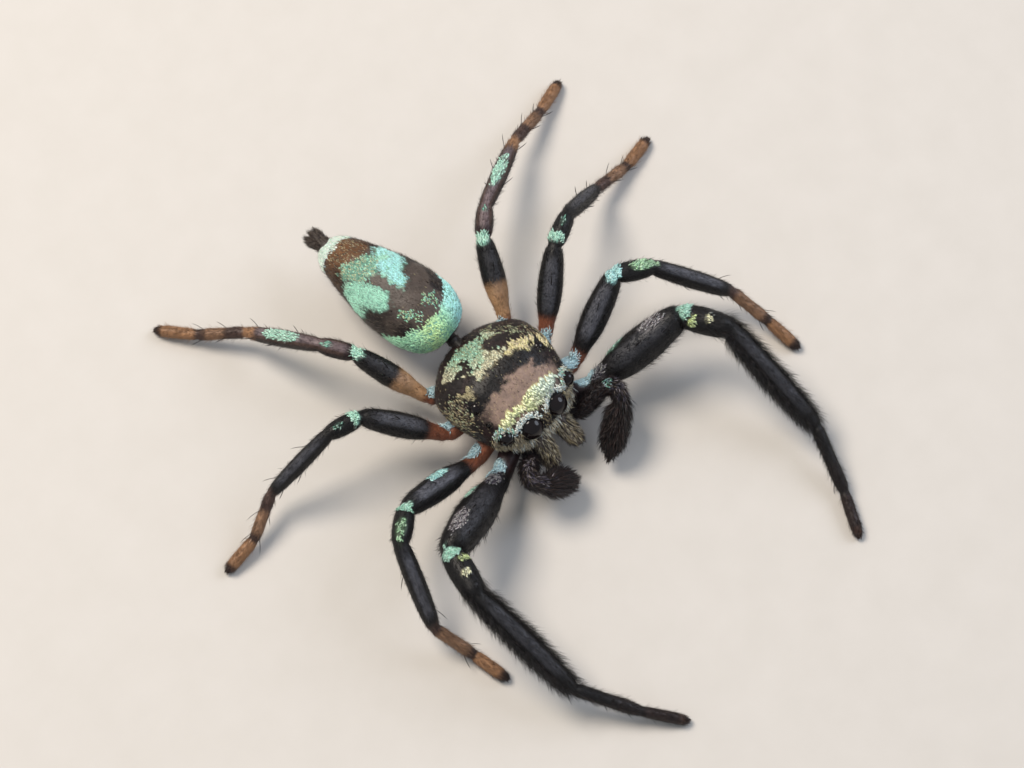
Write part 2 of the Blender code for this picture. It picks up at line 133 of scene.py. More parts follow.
def putMesh(name, vertices, corners, sizes, material, smooth=True):
    # fills a mesh from flat arrays: corners lists the faces' vertices, sizes how many each face has
    mesh = bpy.data.meshes.new(name)
    mesh.vertices.add(len(vertices))
    above = np.maximum(vertices, (-np.inf, -np.inf, floorGap))
    mesh.vertices.foreach_set("co", ((above + slide) * mm).astype(np.float32).ravel())
    mesh.loops.add(len(corners))
    mesh.loops.foreach_set("vertex_index", corners.astype(np.int32))
    mesh.polygons.add(len(sizes))
    starts = np.concatenate([[0], np.cumsum(sizes)[:-1]]).astype(np.int32)
    mesh.polygons.foreach_set("loop_start", starts)
    mesh.polygons.foreach_set("use_smooth", np.full(len(sizes), smooth))
    mesh.update(calc_edges=True)
    mesh.materials.append(material)
    piece = bpy.data.objects.new(name, mesh)
    bpy.context.scene.collection.objects.link(piece)
    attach(piece, "root")
    return piece


def addColours(piece, name, colours):
    # one colour for each vertex, as an attribute that the material reads
    attribute = piece.data.attributes.new(name, "FLOAT_COLOR", "POINT")
    full = np.concatenate([colours, np.ones((len(colours), 1))], 1)
    attribute.data.foreach_set("color", full.astype(np.float32).ravel())


def addNumbers(piece, name, numbers):
    # one number for each vertex, likewise
    piece.data.attributes.new(name, "FLOAT", "POINT").data.foreach_set("value", numbers.astype(np.float32))


def addUv(piece, name, perVertex):
    # each corner takes the place on the unwrap of its vertex
    corners = np.zeros(len(piece.data.loops), np.int32)
    piece.data.loops.foreach_get("vertex_index", corners)
    piece.data.uv_layers.new(name=name).data.foreach_set("uv", perVertex[corners].astype(np.float32).ravel())


def withPoles(grid):
    # the grid's rows as one list, then the mean of its first row and of its last row
    return np.concatenate([grid.reshape(-1, *grid.shape[2:]), grid[0].mean(0)[None], grid[-1].mean(0)[None]])


def joinSurfaces(name, surfaces, material):
    # one mesh of several closed skins, each with its colours, shine and place on the shared unwrap
    lists = {"points": [], "tone": [], "shine": [], "uv": []}
    quads, fans, first = [], [], 0
    for s in surfaces:
        rows, columns, _ = s["points"].shape
        shares = np.meshgrid(np.linspace(0, 1, rows), np.arange(columns) / columns, indexing="ij")
        s["uv"] = surfaceUv(s, *shares)
        for key, grids in lists.items():
            grids.append(withPoles(s[key]))
        sides, ends = gridFaces(rows, columns, first)
        quads.append(sides)
        fans.append(ends)
        first += rows * columns + 2
    vertices, colours, shines, uvs = [np.concatenate(grids) for grids in lists.values()]
    quads, fans = np.concatenate(quads), np.concatenate(fans)
    if signedVolume(vertices, quads, fans) < 0:
        quads, fans = quads[:, ::-1], fans[:, ::-1]
    corners = np.concatenate([quads.ravel(), fans.ravel()])
    sizes = np.concatenate([np.full(len(quads), 4), np.full(len(fans), 3)])
    piece = putMesh(name, vertices, corners, sizes, material)
    addColours(piece, "tone", colours)
    addNumbers(piece, "shine", shines)
    addUv(piece, "skinUnwrap", uvs)
    return piece


def signedVolume(vertices, quads, fans):
    # a sixth of the sum of the triple products of every triangle's corners
    tris = np.concatenate([quads[:, :3], quads[:, [0, 2, 3]], fans])
    a, b, c = vertices[tris[:, 0]], vertices[tris[:, 1]], vertices[tris[:, 2]]
    return (a * np.cross(b, c)).sum() / 6


def surfaceUv(surface, rowShare, turnShare):
    # the surface's own rectangle of the unwrap, along it and once round it
    u0, v0, u1, v1 = surface["rect"]
    return np.stack([u0 + (u1 - u0) * rowShare, v0 + (v1 - v0) * turnShare], -1)


# The spider's forms

carapace = {
    "front": -1.76, "rear": 1.82, "grid": (190, 200), "unwrap": (0.02, 0.02, 0.48, 0.48),
    "outline": ((-1.0, 1.06), (-0.69, 1.40), (-0.30, 1.62), (0.12, 1.76), (0.55, 1.64), (1.0, 1.02)),
    "top": ((-1.0, 2.44), (-0.6, 2.66), (-0.2, 2.86), (0.1, 2.90), (0.42, 2.64), (0.7, 2.16), (1.0, 1.72)),
    "rim": ((-1.0, 1.66), (-0.4, 1.50), (0.4, 1.48), (1.0, 1.52)),
    "bottom": ((-1.0, 1.20), (-0.5, 0.74), (0.4, 0.70), (1.0, 1.12)),
    "roundness": 10, "shoulder": 2.6, "under": 1.5,   # powers of its ends and of its section
    "inset": 0.02,          # how far the skin lies inside the solid, for the coat
    "grooveDepth": 0.05, "grooveWidth": 0.07,       # furrow of the thorax behind the eyes
    "grooveSpan": (0.15, 0.35, 0.55, 0.9),          # where along it deepens and ends
    "lumps": 0.006, "lumpSize": 0.5,                # faint unevenness
    "eyeFunnel": 1.5,       # eye radii over which the skin dips to each eye
    "eyeSocket": 0.88,      # eye radii at which it stays inside the bare lens
    "eyeCollar": 1.06,      # eye radii at which it closes round the lens
}
eyes = {  # centre across, along and up, radius, the way it faces, and how many degrees of the lens are bare
    "anterior_median": (0.46, -1.42, 2.00, 0.38, (0.04, -1.0, 0.42), 88),
    "anterior_lateral": (1.17, -1.20, 2.12, 0.23, (0.50, -1.0, 0.60), 88),
    "posterior_median": (1.27, -0.68, 2.34, 0.09, (1.0, -0.3, 0.8), 60),
    "posterior_lateral": (1.19, -0.12, 2.44, 0.20, (1.0, 0.1, 0.75), 66),
}
abdomen = {
    "front": (0.02, 2.02, 1.78), "rear": (-0.42, 6.56, 1.50),
    "grid": (170, 180), "unwrap": (0.52, 0.02, 0.98, 0.48),
    "outline": ((-1.0, 1.00), (-0.6, 1.15), (-0.15, 1.14), (0.28, 0.95), (0.62, 0.74), (0.88, 0.61),
                (1.0, 0.50)),
    "top": ((-1.0, 0.86), (-0.5, 1.06), (0.0, 1.04), (0.6, 0.68), (1.0, 0.34)),
    "belly": ((-1.0, 0.62), (-0.3, 0.96), (0.4, 0.82), (1.0, 0.34)),
    "roundness": 8, "section": 2.1, "inset": 0.03,
    "midline": 6.0,         # degrees that its markings are rolled to the spider's right
    "folds": 0.012, "foldPace": 26,   # depth and spacing of the faint rings across its rear half
    "lumps": 0.008, "lumpSize": 0.6,
}
legs = {
    "hipHeight": 1.02, "footHeight": 0.13, "coxaRoot": (0.28, 0.60, 0.92),
    "hips": {1: (1.78, -1.62), 2: (1.96, -0.80), 3: (1.94, 0.28), 4: (1.54, 1.40)},
    "lengths": {  # femur, patella, tibia, metatarsus, tarsus
        1: (3.15, 1.40, 3.65, 1.95, 1.30), 2: (2.70, 1.10, 2.55, 1.35, 1.10),
        3: (2.60, 1.00, 2.45, 1.35, 1.10), 4: (2.40, 1.00, 2.75, 1.45, 1.25)},
    "thickness": {  # the same with the coxa first, slimmer than the solids, as the photo's legs are
        1: (0.62, 1.06, 0.76, 0.64, 0.41, 0.33), 2: (0.57, 0.76, 0.59, 0.54, 0.39, 0.36),
        3: (0.57, 0.71, 0.54, 0.47, 0.37, 0.36), 4: (0.55, 0.67, 0.53, 0.49, 0.38, 0.35)},
    "poses": {  # heading and pitch of femur, patella, tibia and metatarsus, then the tarsus heading
        ("right", 1): ((-75, 25), (-17, 3), (3, -23), (29, -17), 35),
        ("right", 2): ((-94, 22), (-53, 16), (-22, -34), (16, -30), 8),
        ("right", 3): ((-139, 27), (-105, 6), (-99, -34), (-69, -24), -88),
        ("right", 4): ((-161, 26), (-148, 10), (-160, -32), (-140, -17), -147),
        ("left", 1): ((78, 23), (26, 4), (0, -24), (-22, -18), -30),
        ("left", 2): ((106, 29), (59, -8), (37, -27), (11, -25), 5),
        ("left", 3): ((127, 33), (112, 2), (104, -44), (90, -22), 99),
        ("left", 4): ((150, 25), (131, -6), (115, -20), (101, -21), 107)},
    "profiles": (  # share of the thickness along coxa, femur, patella, tibia, metatarsus and tarsus
        ((0.0, 0.8), (0.5, 1.0), (1.0, 0.86)),
        ((0.0, 0.50), (0.06, 0.60), (0.18, 0.66), (0.36, 0.92), (0.58, 1.0), (0.85, 0.86), (0.96, 0.70),
         (1.0, 0.56)),
        ((0.0, 0.66), (0.10, 0.88), (0.5, 1.0), (0.9, 0.88), (1.0, 0.74)),
        ((0.0, 0.78), (0.08, 0.90), (0.5, 1.0), (0.85, 0.86), (1.0, 0.66)),
        ((0.0, 0.72), (0.08, 0.92), (0.4, 0.88), (0.8, 0.92), (1.0, 0.80)),
        ((0.0, 0.78), (0.12, 0.94), (0.5, 1.0), (0.8, 0.96), (0.95, 0.72), (1.0, 0.30))),
    "inset": 0.012,         # depth of the short coat
    "bend": 0.16,           # the joints' curves start this far from each joint
    "spacing": 0.052, "columns": 34, "thinnest": 0.02,
    "unwrapStep": 0.06,     # each leg's strip of the unwrap lies this much over the one before
}
palps = {
    "paths": {  # coxa root, femur root, both ends of the elbow, wrist and tip
        "left": ((0.60, -1.24, 1.00), (0.98, -1.92, 1.16), (1.80, -1.98, 1.58), (2.06, -2.20, 1.64),
                 (1.92, -2.58, 1.48), (0.84, -3.22, 0.64)),
        "right": ((-0.60, -1.24, 1.00), (-0.90, -1.94, 1.12), (-1.30, -2.10, 1.46), (-1.46, -2.38, 1.52),
                  (-1.26, -2.70, 1.36), (-0.48, -2.98, 0.62))},
    "width": 0.50, "bend": 0.12, "spacing": 0.035, "columns": 40,
    "profile": ((0.0, 0.8), (0.7, 0.84), (1.0, 0.78), (1.2, 0.94), (1.6, 1.0), (2.0, 0.88), (2.5, 0.98),
                (3.0, 0.92), (3.5, 0.96), (4.0, 0.84), (4.2, 1.08), (4.5, 1.20), (4.8, 1.0), (5.0, 0.3)),
}
chelicerae = {
    "root": (0.36, -1.60, 1.42), "tip": (0.50, -2.40, 0.60), "width": 0.59,
    "profile": ((0.0, 0.80), (0.2, 0.98), (0.5, 1.0), (0.8, 0.86), (0.95, 0.62), (1.0, 0.2)),
    "fang": ((0, 0.06, 0.06), (-0.10, 0.10, -0.05), (-0.24, 0.20, -0.04)),   # from its tip, on the left
    "fangWidths": ((0.0, 0.13), (0.5, 0.10), (1.0, 0.02)),
}
pedicel = {"widths": ((0.0, 0.46), (0.4, 0.34), (0.5, 0.40), (0.6, 0.34), (1.0, 0.46)), "overlap": 0.3}
spinnerets = {
    "length": 0.31, "spread": 0.13, "splay": 0.2, "start": 0.13,
    "widths": ((0.0, 0.26), (0.6, 0.22), (1.0, 0.11)),
    "baseWidths": ((0.0, 0.48), (1.0, 0.48 * 0.9)), "baseSpan": (-0.15, 0.2),
}


def eyeMiddle(name):
    # the middle of an eye's box in the frame, in millimetres
    low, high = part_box(name)
    return (np.array(low) + np.array(high)) / 2 / mm


# The middle of the two main eyes gives how far the frame is slid from the spider's own origin.
mainEyes = (eyeMiddle("eye_anterior_median_left") + eyeMiddle("eye_anterior_median_right")) / 2
slide = mainEyes - np.array([0.0, *eyes["anterior_median"][1:3]])


def squared(value, power):
    # a unit circle's share pushed out towards a square, for powers over 2
    return np.abs(value) ** (2 / power) * np.sign(value)


def roundEnds(t, power):
    # 1 in the middle and 0 at both ends: the square root of 1 - |t|^power
    return np.sqrt(np.maximum(1 - np.abs(t) ** power, 0))


def ballGrid(rows, columns):
    # rows of t from -1 to 1, spaced as on a ball, against the angle once round
    t = -np.cos(np.linspace(0, np.pi, rows + 2)[1:-1])
    return np.meshgrid(t, 2 * np.pi * np.arange(columns) / columns, indexing="ij")


def carapacePoints(t, angle):
    # half-width times a squared cosine across, height over the rim times a squared sine up
    across, over = np.cos(angle), np.sin(angle)
    rounding = roundEnds(t, carapace["roundness"])
    rim = smoothRows(carapace["rim"], t)
    half = smoothRows(carapace["outline"], t) * rounding
    above = (smoothRows(carapace["top"], t) - rim) * rounding * squared(over, carapace["shoulder"])
    below = (rim - smoothRows(carapace["bottom"], t)) * rounding * over
    x = half * np.where(over >= 0, squared(across, carapace["shoulder"]), squared(across, carapace["under"]))
    y = carapace["front"] + (carapace["rear"] - carapace["front"]) * (t + 1) / 2
    return np.stack([x, y, rim + np.where(over >= 0, above, below)], -1)


def eyePlaces():
    # name, centre, radius, facing and bare angle of each of the eight eyes
    for name, (*centre, radius, facing, bare) in eyes.items():
        for side, mirror in mirrors.items():
            way = unit(np.array(facing) * mirror)
            yield f"eye_{name}_{side}", np.array(centre) * mirror, radius, way, bare


def seatEyes(points):
    # Near an eye the skin goes to a distance from its centre: inside the lens where this is bare, and to a
    # collar just outside it beyond. The share of this move eases out over the funnel.
    for _, centre, radius, facing, bare in eyePlaces():
        out = points - centre
        distance = np.linalg.norm(out, axis=-1)
        way = out / distance[..., None]
        angle = np.degrees(np.arccos(np.clip(way @ facing, -1, 1)))
        socket, collar = carapace["eyeSocket"], carapace["eyeCollar"]
        wanted = radius * (socket + (collar - socket) * ease(bare - 5, bare + 5, angle))
        share = 1 - ease(1.12 * radius, carapace["eyeFunnel"] * radius, distance)
        points = centre + way * (distance + (wanted - distance) * share)[..., None]
    return points


def buildCarapace():
    # its form less the inset and the furrow along the thorax, with faint lumps, dipping to each eye
    points = carapacePoints(*ballGrid(*carapace["grid"]))
    normals = makeSurface(points, "", None)["normals"]
    x, y, z = np.moveaxis(points, -1, 0)
    furrow = np.exp(-(x / carapace["grooveWidth"]) ** 2) * between(*carapace["grooveSpan"], y) * (z > 2)
    lift = carapace["lumps"] * wobble(points, carapace["lumpSize"], 3) - carapace["inset"]
    lift -= carapace["grooveDepth"] * furrow
    return makeSurface(seatEyes(points + normals * lift[..., None]), "carapace", carapace["unwrap"])


def abdomenFrame():
    # both ends of its axis, the way along it, to the side and up
    front, rear = np.array(abdomen["front"]), np.array(abdomen["rear"])
    way = unit(rear - front)
    side = unit(np.cross([0.0, 0.0, 1.0], way))
    return front, rear, way, side, np.cross(way, side)


def buildAbdomen():
    # an axis point plus half-width times the cosine across and height times the sine up
    t, angle = ballGrid(*abdomen["grid"])
    front, rear, _, side, lift = abdomenFrame()
    across, over = np.cos(angle), np.sin(angle)
    rounding = roundEnds(t, abdomen["roundness"])
    height = np.where(over >= 0, smoothRows(abdomen["top"], t), smoothRows(abdomen["belly"], t))
    folds = abdomen["folds"] * np.sin(t * abdomen["foldPace"]) * ease(0.1, 0.6, t)
    size = rounding * (1 + folds) - abdomen["inset"] * rounding
    width = smoothRows(abdomen["outline"], t) * size * squared(across, abdomen["section"])
    rise = height * size * squared(over, abdomen["section"])
    axis = front + (rear - front) * ((t + 1) / 2)[..., None]
    points = axis + side * width[..., None] + lift * rise[..., None]
    lumps = abdomen["lumps"] * wobble(points, abdomen["lumpSize"], 5)
    points = points + lumps[..., None] * unit(points - axis)
    turn = np.degrees(np.arctan2(width, rise))   # 0 on top, 90 on the spider's right
    return makeSurface(points, "abdomen", abdomen["unwrap"], t=t, turn=turn)


def wayOf(heading, pitch):
    # the way that a heading, 0 ahead and 90 to the left, and a pitch over the floor give
    turn, rise = np.radians(heading), np.radians(pitch)
    return np.array([np.sin(turn) * np.cos(rise), -np.cos(turn) * np.cos(rise), np.sin(rise)])


def legPath(side, pair):
    # each joint is the one before plus the segment's length along its heading and pitch
    hip = np.array([*legs["hips"][pair], legs["hipHeight"]]) * mirrors[side]
    a, b, height = legs["coxaRoot"]
    path = [np.array([hip[0] * a, hip[1] * b, height]), hip]
    *upper, tarsusHeading = legs["poses"][side, pair]
    lengths = legs["lengths"][pair]
    for length, (heading, pitch) in zip(lengths, upper):
        path.append(path[-1] + wayOf(heading, pitch) * length)
    drop = path[-1][2] - legs["footHeight"]
    reach = np.sqrt(lengths[-1] ** 2 - drop ** 2)
    path.append(path[-1] + wayOf(tarsusHeading, 0) * reach - np.array([0, 0, drop]))
    return np.array(path)


def bentLine(path, place, bend):
    # The point at each place, which is the segment's number plus a share of it. A corner b is rounded off as
    # a (1 - s)^2 + 2 b s (1 - s) + c s^2, with a and c the distance bend before and after it.
    k = np.clip(place.astype(int), 0, len(path) - 2)
    share = place - k
    points = path[k] + (path[k + 1] - path[k]) * share[:, None]
    lengths = np.linalg.norm(np.diff(path, axis=0), axis=1)
    ways = np.diff(path, axis=0) / lengths[:, None]
    for joint in range(1, len(path) - 1):
        distance = np.where(k == joint, share * lengths[joint], -(1 - share) * lengths[joint - 1])
        near = (np.abs(distance) < bend) & ((k == joint) | (k == joint - 1))
        s = (distance[near] + bend) / (2 * bend)
        a, b, c = path[joint] - ways[joint - 1] * bend, path[joint], path[joint] + ways[joint] * bend
        points[near] = a * ((1 - s) ** 2)[:, None] + b * (2 * s * (1 - s))[:, None] + c * (s ** 2)[:, None]
    return points


def tubeSurface(name, path, place, radius, bend, columns, rect, **extra):
    # circles round a bent line: centre plus the sideways way times cosine and the upward way times sine
    centre = bentLine(path, place, bend)
    way = unit(np.gradient(centre, axis=0))
    across = unit(np.cross(way, [0.0, 0.0, 1.0]))
    over = np.cross(across, way)
    angle = 2 * np.pi * np.arange(columns) / columns
    circle = across[:, None] * np.cos(angle)[None, :, None] + over[:, None] * np.sin(angle)[None, :, None]
    points = centre[:, None] + circle * radius[:, None, None]
    places = np.repeat(place[:, None], columns, 1)
    turns = np.repeat(np.degrees(angle)[None], len(place), 0)   # 90 is the top
    return makeSurface(points, name, rect, place=places, turn=turns, path=path, **extra)


def spacedPlaces(path, spacing):
    # places a fixed distance apart along every segment, with extra ones at the very ends
    lengths = np.linalg.norm(np.diff(path, axis=0), axis=1)
    counts = [max(int(length / spacing), 4) for length in lengths]
    rows = [k + np.linspace(0, 1, count, endpoint=False) for k, count in enumerate(counts)]
    return np.concatenate([*rows, [len(lengths) - 0.02, len(lengths) - 0.005, len(lengths) - 1e-6]])


def legRadius(place, thickness):
    # each segment's profile times half its thickness, less the inset, with the steps at the joints smoothed
    k = np.clip(place.astype(int), 0, len(legs["profiles"]) - 1)
    radius = np.zeros_like(place)
    for part, rows in enumerate(legs["profiles"]):
        radius[k == part] = smoothRows(rows, place[k == part] - part) * thickness[part] / 2 - legs["inset"]
    soft = np.convolve(np.pad(radius, 1, "edge"), [0.25, 0.5, 0.25], "valid")
    return np.maximum(soft, legs["thinnest"])


def buildLeg(side, pair, index):
    # a tube along the leg's joints, with a rounded tip
    path = legPath(side, pair)
    place = spacedPlaces(path, legs["spacing"])
    radius = legRadius(place, legs["thickness"][pair])
    radius[-3:] *= (0.95, 0.7, 0.35)
    low = index * legs["unwrapStep"]
    rect = (0.02, 0.50 + low, 0.98, 0.555 + low)
    leg = tubeSurface(f"leg_{side}_{pair}", path, place, radius, legs["bend"], legs["columns"], rect,
                      side=side, pair=pair)
    leg["points"][..., 2] = np.maximum(leg["points"][..., 2], floorGap + 0.001)
    return leg


def buildPalp(side, index):
    # a tube whose width follows the profile, averaged over five rows
    path = np.array(palps["paths"][side])
    place = spacedPlaces(path, palps["spacing"])
    radius = smoothRows(palps["profile"], place) * palps["width"] / 2
    radius = np.convolve(np.pad(radius, 2, "edge"), np.ones(5) / 5, "valid")
    radius[-3:] *= (0.9, 0.65, 0.3)
    rect = (0.02 + 0.2 * index, 0.485, 0.18 + 0.2 * index, 0.498)
    return tubeSurface(f"palp_{side}", path, place, radius, palps["bend"], palps["columns"], rect, side=side)


def buildChelicera(side, index):
    # a straight tube whose width follows the profile
    path = np.array([chelicerae["root"], chelicerae["tip"]]) * mirrors[side]
    place = np.concatenate([np.linspace(0, 0.97, 44), [0.985, 0.995, 1 - 1e-6]])
    radius = smoothRows(chelicerae["profile"], place) * chelicerae["width"] / 2
    rect = (0.45 + 0.2 * index, 0.485, 0.60 + 0.2 * index, 0.498)
    return tubeSurface(f"chelicera_{side}", path, place, radius, 0.01, 40, rect, side=side)


def plainTube(name, path, widths, columns=24, rect=(0.86, 0.485, 0.98, 0.498)):
    # a tapered tube whose width follows rows of (share, width), with rounded ends
    path = np.array(path, float)
    last = len(path) - 1
    place = np.concatenate([np.linspace(0, last * 0.985, 30), [last * 0.995, last - 1e-6]])
    radius = smoothRows(widths, place / last) / 2
    radius[-2:] *= (0.8, 0.4)
    return tubeSurface(name, path, place, radius, 0.05, columns, rect)


def buildFang(side):
    # three points from the chelicera's tip
    path = (np.array(chelicerae["tip"]) + np.array(chelicerae["fang"])) * mirrors[side]
    return plainTube(f"fang_{side}", path, chelicerae["fangWidths"], 16)


def buildPedicel():
    # a level stalk that ends inside the carapace and the abdomen
    x, y, _ = abdomen["front"]
    path = [(x * 0.6, carapace["rear"] - pedicel["overlap"], 1.5), (x, y + pedicel["overlap"], 1.52)]
    return plainTube("pedicel", path, pedicel["widths"])


def buildSpinnerets():
    # a short base and six cones in a ring, each splayed outwards
    _, rear, way, side, lift = abdomenFrame()
    size = spinnerets
    base = [rear + way * share for share in size["baseSpan"]]
    cones = [plainTube("spinneretBase", base, size["baseWidths"])]
    for k in range(6):
        turn = 2 * np.pi * (k + 0.5) / 6
        out = side * np.cos(turn) + lift * np.sin(turn)
        foot = rear + out * size["spread"] + way * size["start"]
        tip = foot + unit(way + out * size["splay"]) * size["length"]
        cones.append(plainTube("cone", [foot, tip], size["widths"], 16))
    return cones


# Markings: one set of masks for the skin and for the coat

tones = {name: linearColour(text) for name, text in {
    "black": "#0e0b0c", "maroon": "#2a1718", "brownBlack": "#1c1413", "eyeField": "#8d776b",
    "bandBlack": "#0b090a", "orangeBase": "#85503a", "tanBase": "#ac8764", "ankle": "#8d6c53",
    "foot": "#9c7453", "footTip": "#45322a", "steelSheen": "#63646d", "pinkGrey": "#85767a",
    "silver": "#a39a9f", "sky": "#b9dfec", "tibiaBrown": "#4e3a33", "violet": "#5d5766",
    "abdomenBrown": "#4b413b", "abdomenShade": "#1f1817", "rust": "#6a4626", "palpBlack": "#191012",
    "palpEdge": "#5d3418", "cheliceraBrown": "#4a3f37", "mint": "#b2ead3", "cyan": "#b6f0ee",
    "green": "#a9dca9", "yellowGreen": "#d2e59a", "gold": "#e4dba0", "paleGold": "#f6f3c8",
    "dullGold": "#aba17f", "sand": "#c4b28a", "ice": "#c6e0e4", "white": "#edf1e8",
    "teal": "#6fae98", "paleSage": "#bcc8a4", "hairBlack": "#100c0d", "hairBrown": "#2a1d1a",
    "hairGrey": "#6e6459", "cream": "#dccfb2"}.items()}


def blob(u, v, centreU, centreV, reachU, reachV, soft=0.35):
    # a bump in two directions: 1 inside an ellipse, fading to 0 about its edge
    distance = np.sqrt(((u - centreU) / reachU) ** 2 + ((v - centreV) / reachV) ** 2)
    return bump(distance, 0, 1, soft)


def stroke(u, v, points, radius, soft):
    # 1 within radius of a chain of straight strokes, fading to 0 about that distance
    distance = np.full(u.shape, 9.0)
    for (u0, v0), (u1, v1) in zip(points, points[1:]):
        long = max((u1 - u0) ** 2 + (v1 - v0) ** 2, 1e-9)
        s = np.clip(((u - u0) * (u1 - u0) + (v - v0) * (v1 - v0)) / long, 0, 1)
        distance = np.minimum(distance, np.hypot(u - u0 - s * (u1 - u0), v - v0 - s * (v1 - v0)))
    return bump(distance, 0, radius, soft)


def strokes(u, v, marks, soft=0.7):
    # the strongest of several strokes, each with its own radius
    return np.max([stroke(u, v, points, radius, soft) for points, radius in marks], axis=0)


carapaceMarks = {
    "strokes": {  # points across, the spider's left positive, and along, and the half-width of the stroke
        "mint": ((((-0.10, 1.25), (-0.12, 0.50)), 0.27), (((-0.40, 1.30), (-1.04, 1.12)), 0.15),
                 (((0.16, 1.30), (0.50, 1.16)), 0.14), (((-0.58, 0.44), (0.24, 0.46)), 0.15)),
        "gold": ((((0.62, 0.28), (0.84, 0.19), (1.20, 0.05), (1.42, -0.08)), 0.145),
                 (((-1.08, 0.29), (-1.16, 0.25)), 0.12)),
        "olive": ((((0.66, 1.30), (0.90, 1.08), (1.20, 0.70), (1.24, 0.42)), 0.17),
                  (((-1.64, 0.42), (-1.54, -0.22)), 0.17), (((-1.48, 0.36), (-1.38, 0.0)), 0.13))},
    "middle": -0.10,                    # the band and the eye field are centred here, across
    "band": (0.05, 1.40, 0.29),         # place along, and half-sizes across and along
    "eyeField": (-0.70, 1.22, 0.68),    # the same
    "bandSweep": 0.10,                  # how much the ends of the band bend forward
    "bandWrap": 0.42,                   # how much more its left end does, round the eye field
    "rowFront": -1.17, "rowRear": -0.84, "rowBow": 0.14,   # edges of the gold row, and its bow
    "rowGap": (-0.54, 0.32, 0.14),      # where its front leaves room for the right brow, and how much
    "rowWaist": (-0.19, 0.16, 0.09),    # where its rear draws in, and how much
    "rowEnds": (0.92, 1.04),
}


def carapaceMasks(p):
    # soft blobs and strokes in the plan of the carapace, with edges moved by noise
    marks = carapaceMarks
    ragged = 0.09 * wobble(p, 0.42, 21) + 0.06 * wobble(p, 0.15, 22)
    x, z = p[..., 0] + ragged, p[..., 2]
    y = p[..., 1] + 0.08 * wobble(p, 0.40, 23) + 0.04 * wobble(p, 0.13, 24)
    across = np.abs(x - marks["middle"])
    swept = y + marks["bandSweep"] * across
    wrapped = swept + marks["bandWrap"] * ease(0.5, 1.1, x)
    bands = [blob(across, along, 0, *marks["band"], soft=0.6) for along in (swept, wrapped)]
    masks = {"band": np.maximum(*bands) * ease(2.2, 2.4, z)}
    field = blob(across, y, 0, *marks["eyeField"], soft=0.6) * ease(2.3, 2.5, z)
    masks["eyeField"] = field * (1 - masks["band"])
    for name, rows in marks["strokes"].items():
        masks[name] = strokes(x, y, rows, 0.5) * ease(1.5, 1.9, z)
    masks["side"] = ease(1.40, 1.52, np.abs(x)) * between(-0.7, -0.3, 0.4, 0.9, y) * ease(1.4, 1.6, z)
    x, y = p[..., 0] + 0.08, p[..., 1] + 0.05 * wobble(p, 0.22, 25)
    (gap, gapReach, gapDepth), (waist, waistReach, waistDepth) = marks["rowGap"], marks["rowWaist"]
    front = marks["rowFront"] + marks["rowBow"] * x * x + gapDepth * bump(x, gap, gapReach)
    rear = marks["rowRear"] - waistDepth * bump(x, waist, waistReach)
    row = between(front - 0.05, front, rear - 0.05, rear, y) * ease(2.2, 2.35, z)
    masks["goldRow"] = row * (1 - ease(*marks["rowEnds"], np.abs(x)))
    return masks


abdomenMarks = {
    "strokes": {  # points along from its middle and round from its top, the right positive, in millimetres
        "lobes": ((((-0.52, -0.10), (-0.02, -0.20)), 0.20), (((0.04, -0.44), (0.40, -0.80)), 0.36),
                  (((-0.44, 0.66), (-0.06, 0.74)), 0.27), (((0.0, 0.84), (0.44, 1.10)), 0.34),
                  (((0.40, 1.24), (0.16, 1.50)), 0.30)),
        "bridge": ((((0.52, -0.10), (0.66, 0.50)), 0.34), (((0.92, 0.44), (1.00, 0.80)), 0.17)),
        "spots": ((((-1.44, -0.14), (-1.52, -0.24)), 0.17), (((-1.17, 0.62), (-1.17, 0.68)), 0.10),
                  (((-1.58, 0.40), (-1.58, 0.46)), 0.11), (((-1.36, 0.62), (-1.30, 0.40)), 0.08))},
    "reach": 2.29, "round": 0.0185,       # millimetres along for 1 of t, and round for a degree
    "tailBand": (0.775, 0.80, 0.925, 0.95),   # where it rises and falls, in t
    "rust": (0.36, 0.50, 0.80, 0.84),         # the same
    "crescent": -0.81, "crescentHorns": (0.13, 0.32),   # its inner edge, and how far its horns reach back
}


def abdomenMasks(t, turn, p):
    # strokes, a tail band and a front crescent alike on both sides, their edges moved by noise
    marks = abdomenMarks
    ragged = 0.045 * wobble(p, 0.30, 31) + 0.03 * wobble(p, 0.12, 32)
    along = t * marks["reach"] + ragged
    around = ((turn + 180) % 360 - 180) * marks["round"] + 0.05 * wobble(p, 0.25, 33)
    side = np.abs((turn - abdomen["midline"] + 180) % 360 - 180)
    t = t + ragged / marks["reach"]
    masks = {name: strokes(along, around, rows) for name, rows in marks["strokes"].items()}
    bent = t + 0.05 * ease(20, 80, side)
    start, full, fade, end = marks["tailBand"]
    masks["tailBand"] = ease(start, full, bent) * (1 - ease(fade, end, t)) * (1 - ease(78, 92, side))
    masks["rust"] = between(*marks["rust"], t) * (1 - ease(70, 110, side))
    first, second = marks["crescentHorns"]
    inner = marks["crescent"] + first * ease(25, 55, side) + second * ease(48, 92, side)
    masks["crescent"] = (1 - ease(-0.02, 0.03, t - inner)) * (1 - ease(96, 108, side))
    # the sides and belly, from about 34 to 60 degrees off the top onwards: where the shade is painted
    masks["side"] = ease(34, 60, side + 12 * wobble(p, 0.8, 34))
    return masks


